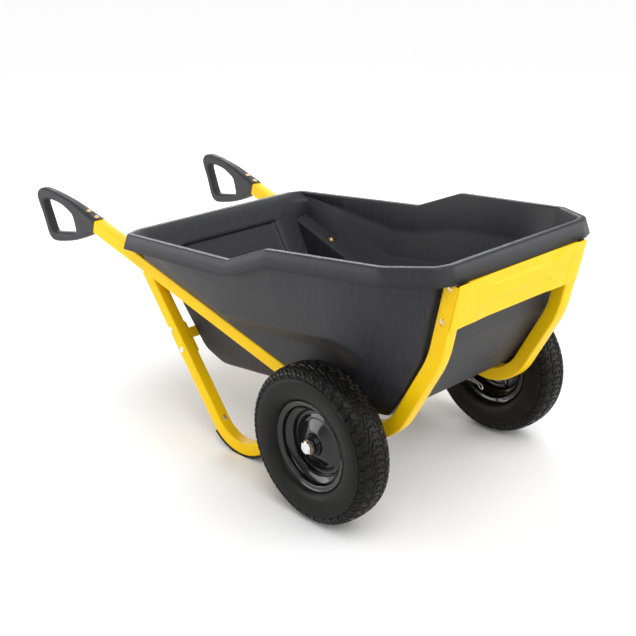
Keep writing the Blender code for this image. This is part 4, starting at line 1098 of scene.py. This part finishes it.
def tyre(word, side, body):
    """A pneumatic tyre with a zig-zag block tread and finely ribbed sidewalls."""
    x, radius, normal_x, normal_r = tyre_section()
    steps = TREAD_REPEATS * TREAD_STEPS
    angles = 2 * math.pi * np.arange(steps) / steps
    relief = tyre_relief(x, radius, np.arange(steps) / TREAD_STEPS)
    final_x = x[:, None] + relief * normal_x[:, None]
    final_r = radius[:, None] + relief * normal_r[:, None]
    inside_x, inside_r = np.array(TYRE_INSIDE).T
    final_x = np.concatenate([final_x, np.repeat(inside_x[:, None], steps, axis=1)])
    final_r = np.concatenate([final_r, np.repeat(inside_r[:, None], steps, axis=1)])
    place_x = side * (WHEEL_X + final_x)
    place_y = AXLE_Y + final_r * np.sin(angles)[None, :]
    place_z = TYRE_RADIUS + final_r * np.cos(angles)[None, :]
    rings = [list(zip(*row)) for row in zip(place_x, place_y, place_z)]
    finished(word + "_treaded_tyre", ring_mesh(rings, closed_ends=True), "tyre", body,
             [word + "_tyre"])


def join_shapes(*shapes):
    """Several closed shapes as one bmesh."""
    whole = shapes[0]
    for extra in shapes[1:]:
        mesh = mesh_from("part", extra)
        whole.from_mesh(mesh)
        bpy.data.meshes.remove(mesh)
    return whole


def rim(word, side, body):
    """A stamped rim: a barrel with rolled lips, and a disc domed out round the hub."""
    visible = list(RIM_BARREL) + mirrored(RIM_BARREL)
    between_lips = visible[RIM_LIP_POINTS:-RIM_LIP_POINTS]
    hidden = [(x * RIM_HIDDEN_SHARE, radius + RIM_SHEET) for x, radius in between_lips]
    barrel = turned_shape(visible + hidden[::-1], side, WHEEL_X, RIM_STEPS)
    back = [(x - RIM_SHEET, radius) for x, radius in RIM_DISC[::-1]]
    disc = turned_shape(list(RIM_DISC) + back, side, WHEEL_X, RIM_STEPS)
    finished(word + "_stamped_rim", join_shapes(barrel, disc), "rim", body, [word + "_rim"])


def wheel(word, side):
    body = word + "_wheel"
    tyre(word, side, body)
    rim(word, side, body)
    finished(word + "_hub_tube", turned_shape(HUB_PROFILE, side, WHEEL_X), "rim", body,
             [word + "_hub"])
    for place, facing in (("outer", 1), ("inner", -1)):
        profile = [(facing * x, radius) for x, radius in BEARING_PROFILE]
        finished(f"{word}_{place}_flanged_bearing", turned_shape(profile, side, WHEEL_X),
                 "dark_steel", body, [f"{word}_{place}_bearing"])


def axle(word, side):
    """The bright axle bolt and its yellow-plated washer."""
    finished(word + "_plated_washer", turned_shape(WASHER_PROFILE, side, 0.0), "yellow_zinc",
             "frame", [word + "_axle_washer"])
    under, face = AXLE_HEAD_SPAN
    crown = AXLE_HEAD_FLATS * CROWN_SHARE
    dish_edge, dish_floor, dish_depth = AXLE_DISH
    outline = ((circle, AXLE_RADIUS * TIP_SHARE, AXLE_INNER_END_X),
               (circle, AXLE_RADIUS, AXLE_INNER_END_X + AXLE_TIP),
               (circle, AXLE_RADIUS, under), (circle, crown, under),
               (hexagon, AXLE_HEAD_FLATS, under + AXLE_HEAD_CHAMFERS[0]),
               (hexagon, AXLE_HEAD_FLATS, face - AXLE_HEAD_CHAMFERS[1]),
               (circle, crown, face), (circle, crown * dish_edge, face),
               (circle, crown * dish_floor, face - dish_depth))
    rings = [ring(size, height, AXLE_STEPS) for ring, size, height in outline]
    along_x = [[(side * point.z, AXLE_Y + point.x, TYRE_RADIUS + point.y) for point in ring]
               for ring in rings]
    finished(word + "_hex_axle", ring_mesh(along_x), "zinc", "frame", [word + "_axle_bolt"])


# ---- Scene ----

def make_camera():
    data = bpy.data.cameras.new("photo_view")
    data.lens = CAMERA_LENS
    data.sensor_width = 36.0
    camera = put_in_scene("photo_view", data)
    right = Vector(CAMERA_RIGHT)
    up = Vector(CAMERA_UP)
    back = right.cross(up)
    turn = Matrix((right, up, back)).transposed().to_4x4()
    camera.matrix_world = Matrix.Translation(CAMERA_PLACE) @ turn
    bpy.context.scene.camera = camera


def aim_light(light, direction):
    light.rotation_euler = Vector(direction).to_track_quat("-Z", "Y").to_euler()


def soft_box(name, place, target, size, power):
    data = bpy.data.lights.new(name, "AREA")
    data.energy = power
    data.shape = "RECTANGLE"
    data.size, data.size_y = size
    light = put_in_scene(name, data)
    light.location = place
    aim_light(light, Vector(target) - Vector(place))


def make_floor():
    shape = bmesh.new()
    bmesh.ops.create_grid(shape, x_segments=2, y_segments=2, size=FLOOR_SIZE)
    mesh = mesh_from("floor", shape)
    floor = put_in_scene("floor", mesh)
    mesh.materials.append(Shader("floor", (0.9, 0.9, 0.9), 0.0, 0.9).material)


def make_surround():
    """A world that is white at the horizon and greyer overhead."""
    world = bpy.data.worlds.new("surround")
    world.use_nodes = True
    nodes = world.node_tree.nodes
    links = world.node_tree.links
    direction = nodes.new("ShaderNodeSeparateXYZ")
    links.new(nodes.new("ShaderNodeTexCoord").outputs["Generated"], direction.inputs["Vector"])
    fade = nodes.new("ShaderNodeValToRGB")
    links.new(direction.outputs["Z"], fade.inputs["Fac"])
    set_stops(fade, [(HORIZON_TOP, (1.0, 1.0, 1.0)), (SKY_BOTTOM, (SKY_LEVEL,) * 3)])
    links.new(fade.outputs["Color"], nodes["Background"].inputs["Color"])
    bpy.context.scene.world = world


def make_studio():
    make_floor()
    make_surround()
    bpy.context.scene.view_settings.view_transform = "Standard"
    sun = bpy.data.lights.new("overhead", "SUN")
    sun.energy = OVERHEAD_STRENGTH
    sun.angle = OVERHEAD_SPREAD
    aim_light(put_in_scene("overhead", sun), OVERHEAD_AIM)
    for box in SOFT_BOXES:
        soft_box(*box)


def paint_carried_nodes():
    """The CAD nodes that stay get the finish of their slot."""
    by_slot = {"frame_paint": "paint", "tub_plastic": "tub", "tyre_rubber": "tyre",
               "rim_paint": "rim", "black_rubber": "pad", "grip_plastic": "grip",
               "dark_steel": "dark_steel", "zinc_steel": "zinc"}
    slots = {entry["node"]: entry["material_slot"] for entry in frame["record"]["subparts"]}
    for name, obj in frame["nodes"].items():
        material = MATERIALS[by_slot[slots[name]]]
        if not obj.material_slots:
            obj.data.materials.append(material)
        for material_slot in obj.material_slots:
            material_slot.material = material


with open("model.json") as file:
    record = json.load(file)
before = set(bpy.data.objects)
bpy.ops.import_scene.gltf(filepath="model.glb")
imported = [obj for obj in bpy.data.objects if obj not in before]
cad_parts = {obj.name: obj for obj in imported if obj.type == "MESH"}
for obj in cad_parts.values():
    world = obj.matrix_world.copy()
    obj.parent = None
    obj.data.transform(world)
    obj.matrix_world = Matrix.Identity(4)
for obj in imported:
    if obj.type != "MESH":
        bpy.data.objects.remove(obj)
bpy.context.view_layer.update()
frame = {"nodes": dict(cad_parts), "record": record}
MATERIALS = make_materials()
make_camera()
make_studio()
paint_carried_nodes()
poly_tub = tub()
front_plate()
for word, side in SIDES:
    tub_recess(poly_tub, side)
    frame_tube(word, side)
    leg(word, side)
    grip(word, side)
    fasteners(word, side)
    tub_bolt(word, side)
    axle(word, side)
    wheel(word, side)
